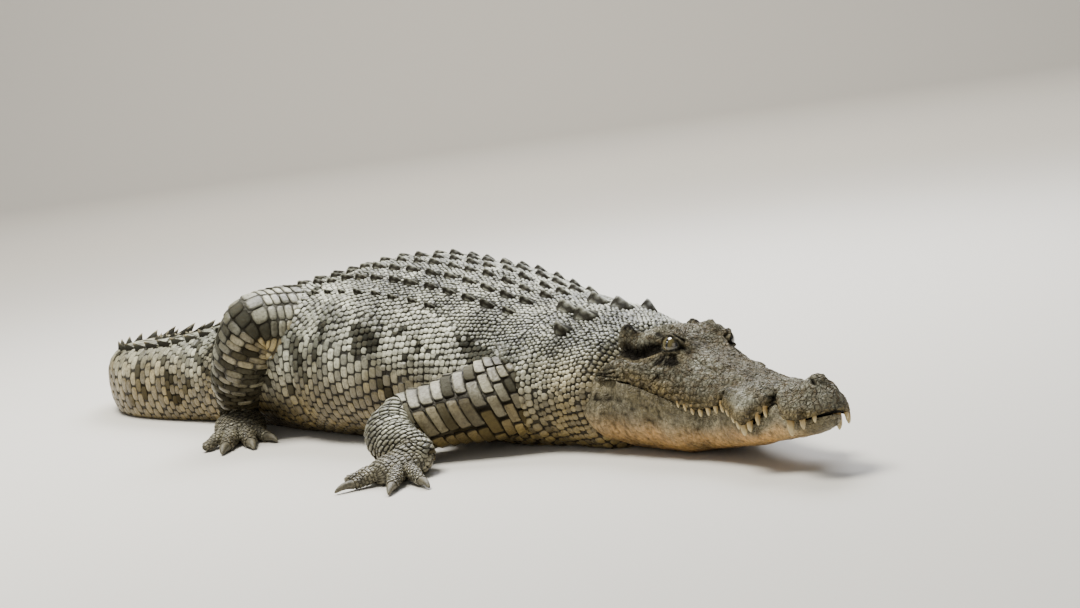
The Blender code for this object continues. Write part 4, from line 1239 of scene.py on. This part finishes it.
NAPE = 0.215  # where the nape's granules give way to the back's, behind the skull table
NECK, TRUNK = (-0.05, 0.275), (0.275, 1.46)  # stretches of the body
RIDGE, BELLY = (0.0, 0.0), (0.9, 0.9)  # distances from the ridge; the second is past the belly's middle
JOWL = (0.17, 0.20), (0.23, 0.27), (0.30, 0.34), (0.38, 0.42)  # and the edges of bands, at either end
FLANK = (0.225, 0.105), (0.305, 0.175), (0.40, 0.26)
shields = body_clear(back_shields())
nape = np.array([(0.130, 0.047, 0.033, 0.026), (0.203, 0.041, 0.031, 0.024), (0.128, 0.112, 0.024, 0.018)])
nape = np.concatenate([nape, nape * (1, -1, 1, 1)])  # six shields: back, aside, half length, half width
nape[:, [1, 3]] /= np.interp(nape[:, 0], BODY_U, GIRTH)[:, None]
groups = [
    scales(BODY, shields, FULL, 14, 2.0, 0.0036, 0.0115, 0.0010, keel_mark=1.0),
    scales(BODY, nape, FULL, 14, 2.2, 0.0065, 0.0180, 0.0020, keel_mark=0.95),
]
granules = free_rows((NAPE, 1.30, 0.0100, RIDGE, (0.23, 0.125), 0.0098, 0.35, 2), shields=shields)
rump = free_rows((1.30, TRUNK[1], 0.0135, RIDGE, (0.125, 0.105), 0.0135, 0.25, 12), shields=shields)
granules = np.concatenate([granules, rump])
high = 0.0026 + 0.0016 * random_of(granules, 3) ** 4
groups.append(scales(BODY, granules, SMALL, 7, 2.3, high, 0.0006, 0.0009, drop=0.8))
put_scales("back_scales", groups)

neck = free_rows((NECK[0], NAPE, 0.0100, RIDGE, JOWL[0], 0.0100, 0.35, 13), shields=nape)
high = 0.0028 + 0.0022 * random_of(neck, 4) ** 3
put_scales("nape_scales", [scales(BODY, neck, SMALL, 7, 2.3, high, 0.0010, 0.0009, drop=0.8)])

jowl = free_rows(
    (*NECK, 0.0115, *JOWL[:2], 0.0115, 0.32, 4),
    (*NECK, 0.0150, *JOWL[1:3], 0.0155, 0.26, 14),
    (*NECK, 0.0205, *JOWL[2:], 0.0215, 0.16, 44),
)
throat = free_rows((*NECK, 0.027, JOWL[3], BELLY, 0.028, 0.06, 5))
groups = [
    scales(BODY, jowl, FULL, 11, 2.7, 0.0036, 0.0010, 0.0012, blotchy=0.6, drop=0.5),
    scales(BODY, throat, SMALL, 10, 3.6, 0.0034, 0.0, 0.0004),
]
put_scales("neck_scales", groups)

flank = free_rows(
    (*TRUNK, 0.0125, *FLANK[:2], 0.0125, 0.28, 6),
    (*TRUNK, 0.0160, *FLANK[1:], 0.0165, 0.20, 66),
)
lump = random_of(flank, 81) ** 4
high, keel = 0.0029 + 0.0012 * lump, 0.0030 * lump
put_scales("flank_scales", [scales(BODY, flank, FULL, 10, 3.0, high, keel, 0.0012, blotchy=0.9, drop=0.8)])
belly = free_rows((*TRUNK, 0.0225, FLANK[2], BELLY, 0.027, 0.08, 7))
put_scales("belly_scales", [scales(BODY, belly, FULL, 12, 3.6, 0.0036, 0.0, 0.0006, blotchy=0.85)])

WHORL = 0.056  # pitch of the tail's rings, each with its crest plate
TAIL = TRUNK[1], 1.64, 2.54, 3.592  # root, where its rings widen, where the crests meet, tip
root = body_rows(*TAIL[:2], 0.0180, RIDGE, BELLY, 0.026, 0.12, 88)
root = np.concatenate([root, body_rows(*TAIL[1:3], WHORL * 0.4, RIDGE, BELLY, 0.041, 0.10, 8)])
end = body_rows(*TAIL[2:], WHORL * 0.4, RIDGE, BELLY, 0.030, 0.08, 9)
groups = [
    scales(BODY, root, FULL, 12, 3.4, 0.0036, 0.0006, 0.0010, blotchy=0.85),
    scales(BODY, end, SMALL, 10, 3.4, 0.0026, 0.0004, 0.0006, blotchy=0.85),
]
put_scales("tail_scales", groups)


def crest_plates(rows):
    """Blades along the tail: a row is distance back, to the left, length, height and width. Each rises slowly
    from its front edge, is highest near its rear, and leans back and outwards."""
    n = 9  # points along a blade, and across
    back, left, long, high, wide = (rows[:, k, None, None] for k in range(5))
    along = np.linspace(0.0, 1.0, n)[None, :, None]
    over = np.linspace(-1.0, 1.0, n)[None, None, :]
    profile = np.clip(along / 0.84, 0, 1) ** 1.1 * np.clip((1.0 - along) / 0.13, 0, 1) ** 0.6
    lift = high * profile * (1 - np.abs(over)) ** 0.85
    girth = np.interp(back, BODY_U, GIRTH)
    u = back + along * long + 0.95 * lift
    v = (-left + wide / 2 * (0.45 + 0.55 * np.clip(along / 0.6, 0, 1)) * over) / girth
    place = sampled(BODY, "at", u, v)
    place[..., 2] += lift - 0.004 * (np.abs(over) > 0.99)
    facing = np.interp(u, SPINE_BACK, SPINE_FACING)
    sideways = np.stack([-np.sin(facing), np.cos(facing), 0 * facing], -1)
    place = (place + sideways * (np.sign(left) * 0.25 * lift)[..., None]).reshape(len(rows), n * n, 3)
    grid = np.arange(n * n).reshape(n, n)
    quads, middle = grid_faces(n, n, False), n * n // 2
    rim = np.concatenate([grid[0], grid[1:, -1], grid[-1, -2::-1], grid[-2:0:-1, 0]])
    way = np.cross(place[:, middle] - place[:, middle - n], place[:, middle + 1] - place[:, middle])
    if way[:, 2].mean() < 0:
        quads = quads[:, ::-1]
    else:
        rim = rim[::-1]
    root = on_chart(BODY, rows[:, 0], (-rows[:, 1] / girth[:, 0, 0]) % 1.0)
    spots = np.stack([np.repeat(along.ravel(), n), np.tile(over.ravel(), n)], 1)
    share = np.broadcast_to(profile * (1 - np.abs(over)) ** 0.75, (len(rows), n, n)).reshape(-1, n * n)
    # The blades are dark, and darker still where they meet the tail, as painted shade; their tips are painted
    # pale, as a highlight.
    numbers = {
        "mark": 0.95 * (1 - ramp(share, 0.72, 0.95)),
        "edge": 0.70 * (1 - ramp(share, 0.30, 0.80)),
        "each": np.broadcast_to(random_of(rows, 91)[:, None], share.shape),
        "pale": ramp(share, 0.5, 0.9) * 0.7,
        "ochre": 0 * share,
    }
    return place, [quads, rim[None]], root[:, None] + spots * BAKED, numbers


PAIRED_END, CREST_END = 2.52, 3.50  # where the paired and the single crests end
crest, long = [], WHORL * 0.95
for back in np.arange(TAIL[0], PAIRED_END, WHORL):
    share = (back - TAIL[0]) / 1.06
    apart, high, wide = 0.080 - 0.068 * share, 0.018 + 0.014 * share, 0.024 - 0.008 * share
    crest += [(back, -apart, long, high, wide), (back, apart, long, high, wide)]
for back in np.arange(TAIL[2], CREST_END, WHORL):
    crest.append((back, 0.0, long, 0.046 - 0.026 * (back - TAIL[2]) / 0.96, 0.014))
put_scales("tail_crest", [crest_plates(np.array(crest))])


def limb_rows(thick, length, stations, loose, seed):
    """Roots in rings along a leg: stations are (share of the length, pitch, width) and blend between. Every
    other ring is shifted by half a scale, but not the rings of broad plates."""
    stations = np.array(stations)
    rows, at, number = [], stations[0, 0], 0
    while at < stations[-1, 0]:
        pitch, wide = (np.interp(at, stations[:, 0], stations[:, k]) for k in (1, 2))
        radius = np.interp(at, np.linspace(0, 1, len(thick)), thick)
        count = max(6, round(ROUND * radius / wide))
        step = pitch / length
        v = (np.arange(count) + (0.5 if number % 2 and wide < BROAD else 0.0)) / count
        rest = np.tile([step / 2, 0.5 / count], (count, 1))
        rows.append(np.column_stack([np.full(count, at + step / 2), v, rest]))
        at += step
        number += 1
    return loosened(np.concatenate(rows), loose, seed)


BROAD = 0.07  # width from which plates stand in line
ARM = (  # share of the length, pitch, width
    (0.12, 0.016, 0.022),
    (0.20, 0.020, 0.050),
    (0.26, 0.025, 0.080),
    (0.47, 0.025, 0.080),
    (0.53, 0.016, 0.036),
    (0.62, 0.0105, 0.024),
    (0.80, 0.0100, 0.016),
    (0.94, 0.0090, 0.012),
)
THIGH = (
    (0.10, 0.0125, 0.018),
    (0.35, 0.0130, 0.036),
    (0.55, 0.0125, 0.046),
    (0.80, 0.0115, 0.030),
    (0.94, 0.0100, 0.016),
)
SLANT = 0.032  # how far an arm's rings run forward on top, as a share of its length
groups = []
for name, (line, thick, run) in LIMBS.items():
    face = LEGS[name]
    rows = limb_rows(thick, run[-1], ARM if "front" in name else THIGH, 0.07, 101)
    rows = rows[body_gap(sampled(face, "at", rows[:, 0], rows[:, 1])) > LIMB_OVERLAP]
    big = (rows[:, 2] * run[-1] > 0.0085) & ("front" in name)
    plates, small = rows[big] * (1, 1, 1.06, 1.0), rows[~big]
    slate = np.where(random_of(plates, 103) > 0.76, 0.80, 0.12 + 0.28 * random_of(plates, 104))
    # The arms' plates get a painted shadow on their tucked-in front ends.
    groups.append(scales(face, plates, PLATE, 20, 6.0, 0.0034, 0.0, 0.0036, slate, slant=SLANT, tucked=1.0))
    dark, slant = 0.0, SLANT
    if "hind" in name:
        # The hind shanks' dark scales are partly their own black patches and partly painted shade.
        dark = 0.75 * ramp(small[:, 0] - 0.25 * random_of(small, 105), 0.42, 0.50)
        dark, slant = dark * (random_of(small, 106) > 0.25), 0.0
    groups.append(scales(face, small, SMALL, 10, 3.6, 0.0032, 0.0, 0.0016, dark, blotchy=0.9, slant=slant))
put_scales("leg_scales", groups)

groups = []
for name, face in PALMS.items():
    length = 1.25 * (HAND if "front" in name else FOOT)[0]
    rows = limb_rows(np.full(5, 0.045), length, ((0.02, 0.0095, 0.0115), (0.97, 0.0095, 0.0115)), 0.20, 111)
    groups.append(scales(face, rows, SMALL, 7, 2.6, 0.0022, 0.0003, 0.0004, 0.12))
for name, face in DIGITS.items():
    rows = limb_rows(np.full(5, 0.015), 0.13, ((0.30, 0.0080, 0.012), (0.96, 0.0075, 0.012)), 0.06, 112)
    groups.append(scales(face, rows, SMALL, 7, 3.4, 0.0018, 0.0, 0.0005))
put_scales("hand_scales", groups)

# ------------------------------
# Eyes: a glassy ball in each socket, olive with dark flecks round an upright slit, wet on its surface.

wet = {"Roughness": 0.12, "Coat Weight": 1.0, "Coat Roughness": 0.02}
eye_paint, tree, shader = material("wet eyeball", wet)
across, upward = carried(tree, "across"), carried(tree, "upward")
where = node(tree, "TexCoord").outputs["Object"]
flecks = spread_over(tree, noise(tree, where, 900.0, 3.0), 0.35, 0.65)
iris = mixed(tree, flecks, "#3a331b", "#6b6036")
iris = mixed(tree, spread_over(tree, across, 0.40, 0.75), iris, "#17130b")
slit = maths(tree, "MULTIPLY_ADD", maths(tree, "POWER", upward, 2.0), 0.35, across)
iris = mixed(tree, spread_over(tree, slit, 0.11, 0.15), "#050504", iris)
tree.links.new(iris, shader.inputs["Base Color"])
for name, side in (("eye_left", 1), ("eye_right", -1)):
    middle = eye_middle(side)
    gaze, fore, over = gaze_axes(side)
    turn, angle = np.linspace(0.03, math.pi - 0.03, 30), np.linspace(0, ROUND, 49)
    turns, angles = np.meshgrid(turn, angle, indexing="ij")
    aside = np.cos(angles)[..., None] * fore + np.sin(angles)[..., None] * over
    way = np.cos(turns)[..., None] * gaze + np.sin(turns)[..., None] * aside
    ball = surface(turn, angle / ROUND, middle + way * EYE * HEAD * 0.985, middle, (0, 0, 1, 1), True)
    points, face_lists, _ = hide_of([ball])
    away = (points - middle) / (EYE * HEAD)
    seen = {"across": np.abs(away @ fore), "upward": np.abs(away @ over)}
    eye = put(name + "_ball", points, face_lists, None, seen, eye_paint)
    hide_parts(name)

# ------------------------------
# Teeth: blunt ivory cones that stand in the gums of both jaws, stained yellow towards the root.

ivory, tree, shader = material("tooth enamel", {"Roughness": 0.32, "Coat Weight": 0.25})
where = node(tree, "TexCoord").outputs["Object"]
stain = spread_over(tree, noise(tree, where, 90.0, 3.0), 0.45, 0.75, 0.0, 0.6)
colour = mixed(tree, spread_over(tree, carried(tree, "along"), 0.25, 0.95), "#8f743f", "#d3c292")
tree.links.new(mixed(tree, stain, colour, "#7d6538"), shader.inputs["Base Color"])


def cone(root, tip, thick, bend, blunt, levels=12, sides=14):
    """A horn from root to tip: its radius falls slowly, then fast to a rounded end, the faster the blunter;
    bend bows its middle."""
    share = np.sin(np.linspace(0, math.pi / 2, levels))
    line = root + share[:, None] * (tip - root) + (4 * share * (1 - share))[:, None] * bend
    radius = thick * np.sqrt(np.clip(1 - share**blunt, 0.0015, 1)) * (1 - 0.25 * share)
    ahead = np.gradient(line, axis=0)
    ahead /= np.linalg.norm(ahead, axis=1, keepdims=True)
    across = np.cross(ahead, (0.2, 0.1, 1.0) if abs(ahead[0][2]) < 0.9 else (1.0, 0.0, 0.0))
    across /= np.linalg.norm(across, axis=1, keepdims=True)
    ring = rings(line, across, np.cross(across, ahead), radius[:, None], sides)
    return surface(share, np.linspace(0, 1, sides + 1), ring, line[:, None], (0, 0, 1, 1), True)


def put_cones(name, cones, paint):
    """Joins cones into one piece; along runs from 0 at each root to 1 at its tip."""
    points, face_lists, _ = hide_of(cones)
    along = []
    for made in cones:
        along += [np.repeat(made["u"], made["at"].shape[1]), [0.0, 1.0]]
    return put(name, points, face_lists, None, {"along": np.concatenate(along)}, paint)


SET_BACK, ROOT, CROWN, TOOTH_BLUNT = 0.004, 0.012, 0.92, 3.4  # tip ahead of root, depth, share shown
for name, table, outline, way, inset in (
    ("upper_teeth", TEETH_ABOVE, SKULL, -1.0, 0.95),  # way up or down, inset from the lip in tooth widths
    ("lower_teeth", TEETH_BELOW, JAW, 1.0, 1.2),
):
    cones = []
    for at, long, thick in table:
        mouth, half = read_off(SKULL, at, 3), read_off(outline, at, 1)
        edge = half * (0.90 if at > 0.95 else 1.0) - inset * thick
        for side in (-1, 1):
            root = on_head(at, side * edge, mouth - way * ROOT)
            tip = on_head(at + SET_BACK, side * (edge + 0.16 * thick), mouth + way * CROWN * long)
            bend = LEFT * side * 0.06 * long * HEAD
            cones.append(cone(root, tip, 0.52 * thick * HEAD, bend, TOOTH_BLUNT))
    put_cones(name, cones, ivory)

# ------------------------------
# Claws: dark horn sheaths on the three inner digits of each hand and foot, arched, scratched and dull.

horn_paint, tree, shader = material("dark claw horn", {"Roughness": 0.60})
where = node(tree, "TexCoord").outputs["Object"]
scratch = spread_over(tree, noise(tree, where, 200.0, 4.0), 0.3, 0.7)
tree.links.new(mixed(tree, scratch, "#38352a", "#6d6753"), shader.inputs["Base Color"])
CLAW, SHEATH, DROOP, ARCH, CLAW_BLUNT = 0.039, 0.004, (0, 0, -0.008), np.array([0, 0, 0.005]), 2.6
for name in LIMBS:
    cad = name.replace("front", "front_hand").replace("hind", "hind_foot")
    cones = []
    for digit in (1, 2, 3):
        end, point, thick = TIPS[f"{name}_{digit}"]
        cones.append(cone(end - point * SHEATH, end + point * CLAW + DROOP, thick * 0.54, ARCH, CLAW_BLUNT))
    claws = put_cones(cad + "_claws", cones, horn_paint)
    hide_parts(*[f"{cad}_claw_{digit}" for digit in (1, 2, 3)])
